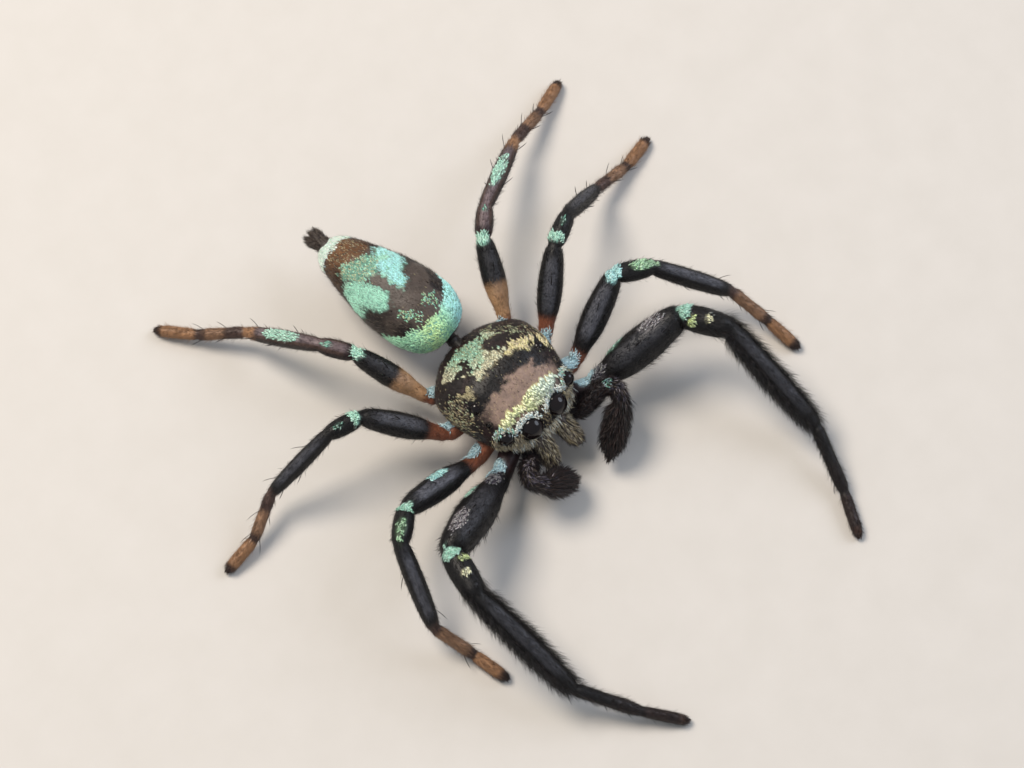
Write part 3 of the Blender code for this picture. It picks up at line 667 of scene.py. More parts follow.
# Places on a leg are the segment's number plus a share of it: coxa 0, femur 1, patella 2, tibia 3,
# metatarsus 4 and tarsus 5.
legMarks = {
    "tones": {  # by pair, the place from which each tone holds
        1: ((0.0, "maroon"), (0.95, "brownBlack"), (1.04, "black"), (4.55, "brownBlack"), (5.1, "hairBrown"),
            (5.8, "footTip")),
        2: ((0.0, "orangeBase"), (1.13, "black"), (3.94, "tibiaBrown"), (4.10, "ankle"), (4.84, "footTip"),
            (5.05, "foot"), (5.80, "footTip")),
        3: ((0.0, "orangeBase"), (1.24, "black"), (3.94, "tibiaBrown"), (4.35, "ankle"), (4.86, "footTip"),
            (5.05, "foot"), (5.82, "footTip")),
        4: ((0.0, "maroon"), (0.9, "orangeBase"), (1.05, "tanBase"), (1.46, "black"), (2.03, "maroon"),
            (2.3, "tibiaBrown"), (3.84, "foot"), (4.02, "tibiaBrown"), (4.42, "ankle"), (4.82, "tibiaBrown"),
            (5.05, "foot"), (5.86, "footTip"))},
    # the pale stripe along the top is painted sheen
    "steelSheen": {1: 0.22, 2: 0.60, 3: 0.45, 4: 0.15},   # strength of the pale stripe along the top, by pair
    "scales": {  # place, half length, tilt from the top rearwards, half width, tone, strength right and left
        # first pair: the violet patch at 1.14 and the silver one at 1.76 are painted sheen
        1: ((0.90, 0.17, 60, 62, "sky", 1.0, 1.0), (1.38, 0.09, 62, 15, "mint", 0.7, 0.4),
            (1.76, 0.14, 30, 26, "silver", 0.42, 0.3), (1.14, 0.08, 20, 36, "violet", 0.5, 0.3),
            (2.09, 0.085, 16, 54, "mint", 1.0, 1.0), (2.28, 0.05, -36, 30, "yellowGreen", 0.9, 0.8),
            (2.58, 0.05, -6, 22, "paleGold", 0.55, 0.4)),
        2: ((0.90, 0.18, 65, 60, "sky", 1.0, 0.0), (0.90, 0.18, 15, 60, "sky", 0.0, 1.0),
            (1.50, 0.12, 42, 24, "cyan", 0.9, 0.0), (2.07, 0.09, 12, 62, "mint", 1.0, 0.0),
            (2.02, 0.09, 12, 62, "cyan", 0.0, 1.0), (2.50, 0.11, 0, 16, "green", 0.42, 0.0),
            (2.70, 0.30, 8, 34, "green", 0.2, 0.8)),
        # third pair: the faint teal patch at 2.7 is painted sheen
        3: ((0.90, 0.18, 65, 60, "sky", 1.0, 0.0), (0.88, 0.20, 0, 66, "sky", 0.0, 1.0),
            (2.19, 0.11, 12, 70, "mint", 1.0, 1.0), (2.7, 0.15, 0, 18, "teal", 0.2, 0.2)),
        4: ((0.88, 0.15, 40, 60, "sky", 0.9, 0.8), (2.01, 0.085, 10, 62, "mint", 1.0, 0.8),
            (2.80, 0.10, 0, 24, "teal", 0.3, 0.3), (3.46, 0.22, 4, 40, "mint", 0.8, 0.6))},
}


def legTones(pair, place, turn):
    # the pair's tones, eased over a short distance at each change, with a paler stripe of painted sheen along
    # the top
    rows = legMarks["tones"][pair]
    colour = np.broadcast_to(tones[rows[0][1]], place.shape + (3,)).copy()
    for start, name in rows[1:]:
        colour = mixColours(colour, tones[name], ease(start - 0.05, start + 0.05, place))
    over = np.sin(np.radians(turn))
    sheenBand = ease(0.78, 0.96, over)
    # the fourth pair's tibia is black below, with a pink-grey painted sheen along its top
    if pair == 4:
        shin = between(2.1, 2.4, 3.76, 3.86, place)
        colour = mixColours(colour, tones["black"], 0.85 * shin * (1 - ease(0.3, 0.8, over)))
        colour = mixColours(colour, tones["pinkGrey"], 0.6 * shin * sheenBand)
    # painted sheen: a steel-grey stripe along the top of the femur and of the tibia
    shafts = between(1.2, 1.4, 1.8, 1.95, place) + between(3.0, 3.2, 3.75, 3.9, place)
    return mixColours(colour, tones["steelSheen"], legMarks["steelSheen"][pair] * shafts * sheenBand)


def legScales(pair, side, place, turn, p):
    # the strongest of the pair's iridescent patches at each place, and the colour there; a few are painted
    # sheen
    ragged = 0.016 * wobble(p, 0.3, 41)
    share = np.zeros(place.shape)
    colour = np.zeros(place.shape + (3,))
    for where, reach, tilt, width, name, *strengths in legMarks["scales"][pair]:
        top, strength = (90 - tilt, strengths[0]) if side == "right" else (90 + tilt, strengths[1])
        off = (turn - top + 180) % 360 - 180
        here = strength * blob(place + ragged, off, where, 0, reach, width, soft=0.5)
        colour = mixColours(colour, tones[name], here / np.maximum(share + here, 1e-6))
        share = np.maximum(share, here)
    return share, colour


def paintPlain(s, name, shine):
    # one tone and one shine all over
    s["tone"] = np.broadcast_to(tones[name], s["points"].shape).copy()
    s["shine"] = np.full(s["points"].shape[:2], shine)


def paintCarapace(s):
    # near black, with the eye field, the band, the ground of the scales, and black skin round every eye
    p = s["points"]
    masks = carapaceMasks(p)
    paintPlain(s, "brownBlack", 0.35)
    for name, share in (("maroon", ease(-0.2, 0.6, wobble(p, 0.7, 51))), ("eyeField", masks["eyeField"]),
                        ("bandBlack", masks["band"]),
                        ("dullGold", 0.6 * np.clip(masks["mint"] + masks["gold"], 0, 1)),
                        ("gold", 0.8 * masks["goldRow"])):
        s["tone"] = mixColours(s["tone"], tones[name], share)
    for _, centre, radius, _, _ in eyePlaces():
        near = 1 - ease(1.15 * radius, 1.55 * radius, np.linalg.norm(p - centre, axis=-1))
        s["tone"] = mixColours(s["tone"], tones["bandBlack"], near)
    s["tone"] = mixColours(s["tone"], tones["orangeBase"], 0.35 * (1 - ease(1.1, 1.4, p[..., 2])))
    s["shine"] -= 0.3 * masks["eyeField"]


def paintAbdomen(s):
    # brown, with painted shade darkening the sides and belly, rust at the rear and green below the scales
    masks = abdomenMasks(s["t"], s["turn"], s["points"])
    paintPlain(s, "abdomenBrown", 0.4)
    ground = 0.65 * tones["teal"] + 0.35 * tones["mint"]
    green = np.max([masks["lobes"], masks["crescent"], 0.6 * masks["bridge"]], axis=0)
    for tone, share in ((tones["abdomenShade"], masks["side"]),
                        (tones["rust"], masks["rust"] * (1 - 0.5 * masks["side"])),
                        (ground, 0.9 * green), (tones["ice"], 0.9 * masks["tailBand"])):
        s["tone"] = mixColours(s["tone"], tone, share)
    s["shine"] -= 0.2 * masks["rust"]


def paintLeg(s):
    # the pair's tones and painted sheen, tinted below its scales
    colour = legTones(s["pair"], s["place"], s["turn"])
    share, scales = legScales(s["pair"], s["side"], s["place"], s["turn"], s["points"])
    s["tone"] = mixColours(colour, scales, 0.7 * share)
    s["shine"] = np.full(s["place"].shape, 0.5)


def paintPalp(s):
    # black, and brown below its first parts
    paintPlain(s, "palpBlack", 0.45)
    under = ease(0.0, -0.8, np.sin(np.radians(s["turn"]))) * (1 - ease(1.8, 2.1, s["place"]))
    s["tone"] = mixColours(s["tone"], tones["palpEdge"], 0.7 * under)


# Materials


def plug(material, node, *ordered, **named):
    # puts each value on the node's socket of that number or name; a value that is itself a socket is linked
    for key, value in (*enumerate(ordered), *named.items()):
        socket = node.inputs[key.replace("_", " ") if isinstance(key, str) else key]
        if isinstance(value, bpy.types.NodeSocket):
            material.node_tree.links.new(value, socket)
        else:
            socket.default_value = value


def addNode(material, kind, settings=None, *ordered, **named):
    # a shader node of that kind with its own properties, whose sockets take what plug gives them
    node = material.node_tree.nodes.new("ShaderNode" + kind)
    for key, value in (settings or {}).items():
        setattr(node, key, value)
    plug(material, node, *ordered, **named)
    return node


def newMaterial(name, **sockets):
    # a material, its shader, and the coordinates of the object
    material = bpy.data.materials.new(name)
    material.use_nodes = True
    shader = material.node_tree.nodes["Principled BSDF"]
    plug(material, shader, **sockets)
    return material, shader, addNode(material, "TexCoord").outputs["Object"]


def mottleTone(material, shader, coords, attribute, grain, detail, low, high):
    # base colour = the piece's own tones times low to high, in patches about grain millimetres wide
    tone = addNode(material, "Attribute", {"attribute_name": attribute}).outputs["Color"]
    patches = addNode(material, "TexNoise", Vector=coords, Scale=1 / (grain * mm), Detail=detail)
    shade = addNode(material, "MapRange", Value=patches.outputs["Fac"], From_Min=0.3, From_Max=0.7,
                    To_Min=low, To_Max=high)
    tinted = addNode(material, "VectorMath", {"operation": "SCALE"}, tone, Scale=shade.outputs["Result"])
    plug(material, shader, Base_Color=tinted.outputs[0])


def cloudColour(material, shader, coords, grain, detail, colours, roughness):
    # base colour and roughness both go between their two values in clouds about grain millimetres wide
    cloud = addNode(material, "TexNoise", Vector=coords, Scale=1 / (grain * mm), Detail=detail).outputs["Fac"]
    first, second = [(*linearColour(colour), 1) for colour in colours]
    mix = addNode(material, "Mix", {"data_type": "RGBA"}, Factor=cloud, A=first, B=second)
    rough = addNode(material, "MapRange", Value=cloud, To_Min=roughness[0], To_Max=roughness[1])
    plug(material, shader, Base_Color=mix.outputs["Result"], Roughness=rough.outputs["Result"])


# Arthropod cuticle, sclerotised and waxy: a dark lacquer-like shell with fine pits and its colour within.
cuticles = {  # size and depth of the pits in millimetres, and roughness where it shines and where it is dull
    "darkCuticle": (0.045, 0.010, 0.32, 0.62), "legCuticle": (0.035, 0.010, 0.40, 0.66),
    "clawHorn": (0.05, 0.002, 0.18, 0.35),
}


def cuticleMaterial(name):
    # the bump is the distance to the nearest pit plus soft waves three pits long
    pitSize, pitDepth, shiny, dull = cuticles[name]
    material, shader, coords = newMaterial(name, IOR=1.54, Specular_IOR_Level=0.36, Coat_Weight=0.06,
                                           Coat_Roughness=0.25)
    mottleTone(material, shader, coords, "tone", 0.25, 6.0, 0.72, 1.25)
    shine = addNode(material, "Attribute", {"attribute_name": "shine"}).outputs["Fac"]
    rough = addNode(material, "MapRange", Value=shine, To_Min=dull, To_Max=shiny)
    pits = addNode(material, "TexVoronoi", Vector=coords, Scale=1 / (pitSize * mm))
    waves = addNode(material, "TexNoise", Vector=coords, Scale=1 / (pitSize * 3 * mm), Detail=3.0)
    height = addNode(material, "Math", {"operation": "ADD"}, pits.outputs["Distance"], waves.outputs["Fac"])
    relief = addNode(material, "Bump", Height=height.outputs[0], Strength=0.5, Distance=pitDepth * mm)
    plug(material, shader, Roughness=rough.outputs["Result"], Normal=relief.outputs["Normal"])
    return material


# Guanine-backed scales: thin plates that mirror blue, green or gold, so they are part metal to the eye.
def scaleMaterial():
    material, *sockets = newMaterial("iridescentScale", Metallic=0.25, IOR=1.56, Roughness=0.34)
    mottleTone(material, *sockets, "coatTone", 0.08, 2.0, 0.85, 1.15)
    return material


# Chitin hairs: solid fine bristles with a soft satin gloss.
def hairMaterial():
    material, *sockets = newMaterial("chitinHair", IOR=1.55, Specular_IOR_Level=0.36, Roughness=0.42)
    mottleTone(material, *sockets, "coatTone", 0.12, 2.0, 0.75, 1.3)
    return material


# Corneal lens: glass-clear chitin over a black retina, so a very smooth and nearly black dome.
def lensMaterial():
    material, *sockets = newMaterial("cornealLens", IOR=1.42)
    cloudColour(material, *sockets, 0.5, 2.0, ("#070506", "#1b1213"), (0.04, 0.10))
    return material


# Matt studio board: painted, with a faint fine grain.
def floorMaterial():
    material, *sockets = newMaterial("studioBoard")
    cloudColour(material, *sockets, 1.2, 5.0, ("#c9c4bd", "#d2cdc7"), (0.6, 0.75))
    return material


# Coat: solid tufts set on the skin

tufts = {
    "flat": 0.35,          # height of a tuft's section as a share of half its width
    "sink": 0.05,          # share of its length that goes into the skin
    "toneSpread": 0.18,    # how much lighter or darker than its tone it may be
    "patch": 0.003,        # width of its spot on the unwrap
    "ringFlat": 0.4,       # the same as flat, and the curl in degrees, for the hairs round the eyes
    "ringCurl": 20.0,
}


def quadWeights(surface, density):
    # each quad's area times the mean density of its first two corners
    p = surface["points"]
    area = np.linalg.norm(np.cross(np.roll(p, -1, 1)[:-1] - p[:-1], p[1:] - p[:-1]), axis=-1)
    return (area * (density[:-1] + density[1:]) / 2).ravel()


def scatter(surface, weights, count):
    # random roots over the grid: a quad is drawn by its weight, then a random place in it
    rows, columns = surface["points"].shape[:2]
    total = np.cumsum(weights)
    pick = np.minimum(np.searchsorted(total, rng.uniform(0, total[-1], count)), len(weights) - 1)
    i, j = pick // columns, pick % columns
    u, v = rng.random((2, count))
    j2 = (j + 1) % columns

    def blend(grid):
        # the grid's value at each root, linear between the four corners of its quad
        shares = [(1 - u) * (1 - v), u * (1 - v), (1 - u) * v, u * v]
        corners = [grid[i, j], grid[i + 1, j], grid[i, j2], grid[i + 1, j2]]
        return sum(c * (k[:, None] if c.ndim > 1 else k) for c, k in zip(corners, shares))

    roots = {"root": blend(surface["points"]), "normal": unit(blend(surface["normals"])),
             "along": unit(blend(surface["along"])),
             "uv": surfaceUv(surface, (i + u) / (rows - 1), (j + v) / columns)}
    for key in ("place", "t"):
        if key in surface:
            roots[key] = blend(surface[key])
    if "turn" in surface:   # the angle wraps, so it is taken from one column
        roots["turn"] = surface["turn"][i, j] + v * (360 / columns if "place" in surface else 0)
    return roots


def tuftFaces(rings):
    # three-cornered rings joined by pairs of triangles, with a triangle at the root and a point at the tip
    faces = [[2, 1, 0]]
    for start in range(0, 3 * (rings - 1), 3):
        for m in range(3):
            n = (m + 1) % 3
            faces += [[start + m, start + n, start + 3 + n], [start + m, start + 3 + n, start + 3 + m]]
    last = 3 * (rings - 1)
    return np.array(faces + [[last + m, last + (m + 1) % 3, 3 * rings] for m in range(3)])


def tuftMesh(roots, lie, tone, length, width, lean, curl, flat, rings=2):
    # Each tuft is a closed tapered blade. Its line leaves the skin at lean degrees and turns by curl towards
    # the lie: place = sum of steps along cos(angle) lie + sin(angle) normal. Its half-width is a sine.
    lean, curl = [np.radians(np.broadcast_to(angles, len(lie))) for angles in (lean, curl)]
    normal = roots["normal"]
    lie = unit(lie - normal * (lie * normal).sum(-1, keepdims=True))
    side = np.cross(lie, normal)
    shares = np.linspace(0, 1, rings + 1)
    widths = np.sin(np.pi * np.clip(0.25 + 0.60 * shares, 0, 1)) if rings > 1 else np.array([0.8, 0.0])
    centre = roots["root"] - normal * (tufts["sink"] * length)[:, None]
    step = (length / rings)[:, None]
    levels = []
    for k in range(rings):
        angle = lean - curl * shares[k]
        over = normal * np.cos(angle)[:, None] - lie * np.sin(angle)[:, None]
        half = (width * widths[k] / 2)[:, None]
        levels += [centre + side * half, centre - side * half, centre + over * half * flat]
        middle = lean - curl * (shares[k] + shares[k + 1]) / 2
        centre = centre + (lie * np.cos(middle)[:, None] + normal * np.sin(middle)[:, None]) * step
    vertices = np.stack([*levels, centre], 1)
    faces = tuftFaces(rings)
    a, b, c = vertices[0][faces].transpose(1, 0, 2)
    if (a * np.cross(b, c)).sum() < 0:   # turned so that the faces look outwards
        faces = faces[:, ::-1]
    spot = np.array([[0, 0], [1, 0], [0.5, 1]]) * tufts["patch"]
    spots = np.concatenate([spot * (1 - 0.3 * k) for k in range(rings)] + [[[tufts["patch"] / 2] * 2]])
    each = vertices.shape[1]
    return {"vertices": vertices.reshape(-1, 3), "faces": faces, "each": each, "count": len(lie),
            "tone": np.repeat(tone, each, 0), "uv": (roots["uv"][:, None] + spots[None]).reshape(-1, 2)}


def coatPiece(name, groups, material):
    # joins groups of tufts into one mesh
    groups = [group for group in groups if group is not None]
    corners, first = [], 0
    for group in groups:
        starts = first + group["each"] * np.arange(group["count"])
        corners.append((starts[:, None, None] + group["faces"][None]).ravel())
        first += group["each"] * group["count"]
    corners = np.concatenate(corners)
    keys = ("vertices", "tone", "uv")
    vertices, colours, uvs = [np.concatenate([group[key] for group in groups]) for key in keys]
    piece = putMesh(name, vertices, corners, np.full(len(corners) // 3, 3), material)
    addColours(piece, "coatTone", colours)
    addUv(piece, "OFBake", uvs)
    print("coat", name, len(corners) // 3, "triangles")


def shiver(count, spread):
    # small random steps, to make tufts differ
    return rng.normal(0, spread, (count, 3))


def pickTones(names, count):
    # each tuft takes one of the tones that the text names, made a little lighter or darker
    table = np.array([tones[name] for name in names.split()])
    base = table[rng.integers(0, len(table), count)]
    return base * rng.uniform(1 - tufts["toneSpread"], 1 + tufts["toneSpread"], (count, 1))


def layer(surface, density, each, size, names="", lean=12, curl=8, mess=0.25, rings=2, sizeSpread=0.25,
          lie=None, tint=None):
    # One layer of tufts: each is how many grow on a square millimetre of full density, size their length and
    # width in millimetres, lean and curl are degrees, and mess is how much they stray from the lie.
    weights = quadWeights(surface, density)
    count = int(weights.sum() * each)
    if count <= 0:
        return None
    roots = scatter(surface, weights, count)
    way = roots["along"] if lie is None else lie(roots)
    way = way + shiver(count, mess)
    length, width = [value * rng.uniform(1 - sizeSpread, 1 + sizeSpread, count) for value in size]
    colours = pickTones(names, count) if tint is None else tint(roots) * rng.uniform(0.8, 1.2, (count, 1))
    return tuftMesh(roots, way, colours, length, width, lean * rng.uniform(0.5, 1.5, count), curl,
                    tufts["flat"], rings)


def growCoat(surface, looks, where, lie=None, lies=(), tints=()):
    # a layer for each look, in the order of the dictionary, with its own lie and tint where it has them
    lies, tints = dict(lies), dict(tints)
    return [layer(surface, where[name], lie=lies.get(name, lie), tint=tints.get(name), **look)
            for name, look in looks.items()]


def awayFromEyes(p):
    # 0 on an eye and 1 clear of them all
    clear = np.ones(p.shape[:-1])
    for _, centre, radius, _, _ in eyePlaces():
        clear = clear * ease(1.0 * radius, 1.05 * radius, np.linalg.norm(p - centre, axis=-1))
    return clear


def eyeBrow(p, kind):
    # the skin just behind and above two like eyes
    brow = np.zeros(p.shape[:-1])
    for name, centre, radius, _, _ in eyePlaces():
        if name.startswith(kind):
            out = p - centre
            distance = np.linalg.norm(out, axis=-1)
            behind = ease(0.1, 0.5, (out @ np.array([0.0, 0.7, 0.7])) / distance)
            brow = np.maximum(brow, behind * (1 - ease(radius + 0.10, radius + 0.20, distance)))
    return brow


carapaceFur = {
    "scales": {
        "mint": dict(each=950, size=(0.125, 0.060), lean=18),
        "gold": dict(each=900, size=(0.125, 0.060), lean=18),
        "olive": dict(each=800, size=(0.10, 0.040), names="dullGold hairGrey paleSage"),
        "side": dict(each=500, size=(0.09, 0.036), names="dullGold hairGrey sand"),
        "freckles": dict(each=30, size=(0.08, 0.028), names="dullGold hairGrey paleSage"),
        "goldRow": dict(each=800, size=(0.18, 0.078), lean=22, curl=20, mess=0.2),
        "mainBrows": dict(each=1500, size=(0.11, 0.046), names="white white white ice", lean=20),
        "sideBrows": dict(each=1100, size=(0.13, 0.038), names="white mint ice cream", lean=38, curl=20)},
    "hair": {
        "back": dict(each=620, size=(0.11, 0.014), names="hairBlack hairBlack hairBrown", lean=24, rings=1),
        "eyeField": dict(each=900, size=(0.07, 0.010), names="eyeField eyeField hairGrey sand", lean=14,
                         rings=1),
        "fieldBristles": dict(each=45, size=(0.10, 0.011), names="hairBrown", lean=30),
        "flanks": dict(each=420, size=(0.13, 0.014), names="hairBlack hairBrown hairGrey", lean=28, rings=1)},
    "face": {  # hairs that hang over the roots of the chelicerae, cheeks, and between the main eyes
        "fringe": dict(each=900, size=(0.34, 0.015), names="cream cream hairGrey white", lean=34, curl=34,
                       rings=3),
        "cheeks": dict(each=800, size=(0.18, 0.018), names="cream hairGrey sand cream", lean=24),
        "nose": dict(each=700, size=(0.12, 0.020), names="sand hairGrey hairBrown", lean=18)},
}


def carapaceCoat(s):
    # every layer grows clear of the eyes; speckle and clumps make some of them patchy
    p = s["points"]
    masks = carapaceMasks(p)
    clear = awayFromEyes(p)
    bare = 1 - np.clip(masks["eyeField"] * 1.2, 0, 1)
    upper = ease(1.35, 1.6, p[..., 2])
    speckle = ease(-0.1, 0.4, wobble(p, 0.09, 61))
    clumps = ease(-0.9, -0.2, wobble(p, 0.14, 64))
    where = {"mint": masks["mint"] * clumps, "gold": masks["gold"] * clumps,
             "olive": masks["olive"] * speckle, "side": masks["side"] * speckle,
             "freckles": bare * upper * speckle, "goldRow": masks["goldRow"],
             "mainBrows": eyeBrow(p, "eye_anterior_median"), "sideBrows": eyeBrow(p, "eye_anterior_lateral"),
             "back": bare * upper, "eyeField": masks["eyeField"], "fieldBristles": masks["eyeField"],
             "flanks": 1 - upper}
    where = {name: clear * share for name, share in where.items()}
    back = lambda r: np.array([0.0, 1.0, 0.0]) + r["along"] * 0.2
    ahead = lambda r: np.array([0.0, -1.0, 0.1]) + shiver(len(r["root"]), 0.15)

    def mintTint(r):
        # mint in the middle of the rear, turning to cream and grey-gold towards the front and the sides
        warm = ease(0.9, 0.4, r["root"][:, 1] + 0.3 * wobble(r["root"], 0.35, 66))
        warm = warm + ease(0.4, 0.9, np.abs(r["root"][:, 0] + 0.1))
        base = mixColours(tones["mint"], tones["paleSage"], rng.random(len(r["root"])))
        return mixColours(base, tones["cream"], 0.75 * np.clip(warm, 0, 1))

    def goldTint(r):
        # brighter on the spider's left
        base = mixColours(tones["gold"], tones["cream"], rng.random(len(r["root"])))
        return mixColours(base, tones["dullGold"], 0.9 * ease(-0.3, -0.8, r["root"][:, 0]))

    def rowTint(r):
        # lemon on the spider's right, paling to mint white on its left
        base = mixColours(tones["paleGold"], tones["yellowGreen"], 0.6 * rng.random(len(r["root"])))
        pale = 0.7 * tones["white"] + 0.3 * tones["mint"]
        return mixColours(base, pale, 0.8 * ease(-0.2, 0.5, r["root"][:, 0]))

    scales = growCoat(s, carapaceFur["scales"], where, back, {"goldRow": ahead, "sideBrows": ahead},
                      {"mint": mintTint, "gold": goldTint, "goldRow": rowTint})
    return scales, growCoat(s, carapaceFur["hair"], where, back)


def cheekCoat(s):
    # cream hairs that hang from below the front eyes, pale cheeks, and short hairs between the main eyes
    p = s["points"]
    x, y, z = np.moveaxis(p, -1, 0)
    where = {"fringe": (1 - ease(-1.50, -1.30, y)) * between(1.05, 1.2, 1.75, 1.9, z),
             "cheeks": (ease(0.70, 0.90, np.abs(x)) * (1 - ease(-1.15, -0.85, y))
                        * between(1.2, 1.4, 2.15, 2.3, z)),
             "nose": (1 - ease(0.10, 0.22, np.abs(x))) * (1 - ease(-1.35, -1.2, y)) * ease(1.7, 1.9, z)}
    where = {name: share * awayFromEyes(p) for name, share in where.items()}
    down = lambda r: np.array([0.0, -0.9, -1.0]) + shiver(len(r["root"]), 0.2)
    ahead = lambda r: np.array([0.0, -1.0, -0.4]) + shiver(len(r["root"]), 0.2)
    return growCoat(s, carapaceFur["face"], where, down, {"nose": ahead})


# Rings of hair round the eyes: angles on the left and on the right eye (0 to the spider's left, 90 above it),
# count, length and width in millimetres, lean, and the shares of the way back from the bare lens they span.
eyeFur = {
    "anterior_median": (
        dict(left=(10, 150), right=(30, 170), count=620, names="white white ice", size=(0.08, 0.028),
             lean=28, spread=(0.08, 0.5)),
        dict(left=(220, 370), right=(170, 320), count=450, names="cream cream hairGrey hairBrown",
             size=(0.15, 0.020), lean=26),
        dict(left=(140, 220), right=(320, 400), count=150, names="hairBrown eyeField hairBlack",
             size=(0.07, 0.016), lean=26)),
    "anterior_lateral": (
        dict(left=(30, 160), right=(30, 160), count=420, names="white mint cream", size=(0.08, 0.022),
             lean=40, spread=(0.0, 0.6)),
        dict(left=(160, 390), right=(160, 390), count=260, names="cream hairGrey hairBrown",
             size=(0.12, 0.018), lean=24)),
    "posterior": (
        dict(left=(0, 360), right=(0, 360), count=200, names="hairBlack hairBrown hairGrey",
             size=(0.08, 0.014), lean=24, spread=(0.0, 0.6)),),
}


def ringHairs(eye, count, names, size, lean, left, right, spread=(0.0, 0.35)):
    # hairs round an eye, rooted on the collar behind the bare lens and pointing the way that the eye faces
    name, centre, radius, axis, bare = eye
    up = unit(np.array([0.0, 0.0, 1.0]) - axis * axis[2])
    across = np.cross(up, axis)
    angle = np.radians(rng.uniform(*(left if name.endswith("left") else right), count))
    out = across * np.cos(angle)[:, None] + up * np.sin(angle)[:, None]
    polar = np.radians(bare + 4 + 60 * rng.uniform(*spread, count))[:, None]
    normal = out * np.sin(polar) + axis * np.cos(polar)
    roots = {"root": centre + normal * radius * carapace["eyeCollar"], "normal": normal,
             "uv": np.stack([0.2 + 0.05 * angle, 0.3 + 0.1 * polar[:, 0]], -1)}
    length = size[0] * rng.uniform(0.7, 1.2, count)
    width = size[1] * rng.uniform(0.8, 1.2, count)
    return tuftMesh(roots, axis + shiver(count, 0.2), pickTones(names, count), length, width, lean,
                    tufts["ringCurl"], tufts["ringFlat"])


def faceCoat():
    # pale brows over the front eyes, bright tufts behind the side eyes, and cream lower lids
    return [ringHairs(eye, **look) for eye in eyePlaces()
            for kind, looks in eyeFur.items() if kind in eye[0] for look in looks]


abdomenFur = {
    "scales": {
        "lobes": dict(each=1900, size=(0.085, 0.034)),
        "bridge": dict(each=1100, size=(0.085, 0.034), names="paleSage teal paleSage mint teal"),
        "crescent": dict(each=1700, size=(0.085, 0.034)),
        "tailBand": dict(each=1900, size=(0.09, 0.036), mess=0.2),
        "spots": dict(each=620, size=(0.08, 0.034), names="green paleSage mint teal"),
        "freckles": dict(each=60, size=(0.08, 0.026), names="dullGold hairGrey hairGrey"),
        "rust": dict(each=300, size=(0.09, 0.024), names="rust dullGold dullGold hairBrown")},
    "hair": {
        "back": dict(each=420, size=(0.13, 0.014), names="abdomenBrown abdomenBrown hairBrown hairGrey",
                     lean=14, rings=1),
        # darker hair on the sides and belly, which carries the painted shade
        "sides": dict(each=480, size=(0.16, 0.016), names="hairBlack hairBrown hairBrown hairGrey",
                      lean=24, rings=1)},
    "spinnerets": dict(each=1300, size=(0.16, 0.016), names="hairGrey hairBrown abdomenBrown hairBrown",
                       lean=26, rings=1),
    "stalk": dict(each=420, size=(0.12, 0.014), names="hairBlack hairBrown", lean=26, rings=1),
}


def abdomenCoat(s):
    # scales on the marks, freckles and hair between them
    p = s["points"]
    m = abdomenMasks(s["t"], s["turn"], p)
    patches = np.clip(m["lobes"] + m["crescent"] + m["tailBand"] + m["spots"] + 0.5 * m["bridge"], 0, 1)
    speckle = ease(0.1, 0.8, wobble(p, 0.13, 62))
    clumps = ease(-0.9, -0.1, wobble(p, 0.11, 65))
    where = {"lobes": m["lobes"] * clumps, "bridge": m["bridge"] * (1 - m["lobes"]) * clumps,
             "crescent": m["crescent"] * clumps, "tailBand": m["tailBand"], "spots": m["spots"],
             "freckles": np.clip(speckle - patches, 0, 1) * (1 - m["side"]),
             "rust": m["rust"] * (1 - patches) * (1 - m["side"]),
             "back": (1 - patches) * (1 - m["side"]), "sides": m["side"] * (1 - 0.8 * patches)}

    def lobeTint(r):
        # mint on the spider's right and cyan on its left, duller towards the rear and at the edges
        warm = ease(0.2, 0.5, r["t"])[:, None]
        cool = ease(0.15, -0.45, r["root"][:, 0] + 0.25 * wobble(r["root"], 0.6, 63))[:, None]
        base = tones["mint"] * cool + tones["cyan"] * (1 - cool)
        base = base * (1 - 0.35 * warm) + tones["paleSage"] * 0.35 * warm
        return base * (0.68 + 0.36 * abdomenMasks(r["t"], r["turn"], r["root"])["lobes"][:, None])

    def crescentTint(r):
        # green on the spider's right, lemon between, cyan on its left, and 1.12 times brighter as painted
        # light
        left = ease(-0.1, 0.55, r["root"][:, 0])[:, None]
        middle = np.exp(-((r["root"][:, 0] + 0.36) / 0.36) ** 2)[:, None]
        base = tones["mint"] * (1 - left) + tones["cyan"] * left
        base = base * (1 - 0.45 * (1 - left)) + tones["green"] * 0.45 * (1 - left)
        return 1.12 * (base * (1 - 0.6 * middle) + tones["yellowGreen"] * 0.6 * middle)

    def tailTint(r):
        # white to pale mint, made a little brighter than the rest as painted light on its steep slope
        return 1.2 * mixColours(tones["white"], tones["mint"], 0.6 * rng.random(len(r["root"])))

    scales = growCoat(s, abdomenFur["scales"], where,
                      tints={"lobes": lobeTint, "crescent": crescentTint, "tailBand": tailTint})
    return scales, growCoat(s, abdomenFur["hair"], where)


legFur = {
    "scales": {
        "patches": dict(each=1300, size=(0.105, 0.046), lean=24, curl=14, mess=0.3),
        "rootPatches": dict(each=2200, size=(0.13, 0.032), lean=28, curl=12, mess=0.4)},
    "hair": {
        "short": dict(each=620, size=(0.14, 0.013), lean=24, curl=14, rings=1),
        "long": dict(each=60, size=(0.20, 0.013), lean=36, curl=20),
        "feet": dict(each=260, size=(0.14, 0.013), lean=34, curl=14, rings=1),
        "tips": dict(each=900, size=(0.14, 0.015), names="footTip hairBrown hairBrown", lean=34, curl=30)},
    "fringe": {
        "shin": dict(each=1150, size=(0.36, 0.014), names="hairBlack hairBlack brownBlack", lean=44, curl=34,
                     mess=0.16, sizeSpread=0.4),
        "thigh": dict(each=260, size=(0.30, 0.014), names="hairBlack hairBrown", lean=42, curl=24),
        "heel": dict(each=260, size=(0.22, 0.013), names="hairBlack hairBrown", lean=38, curl=24)},
}


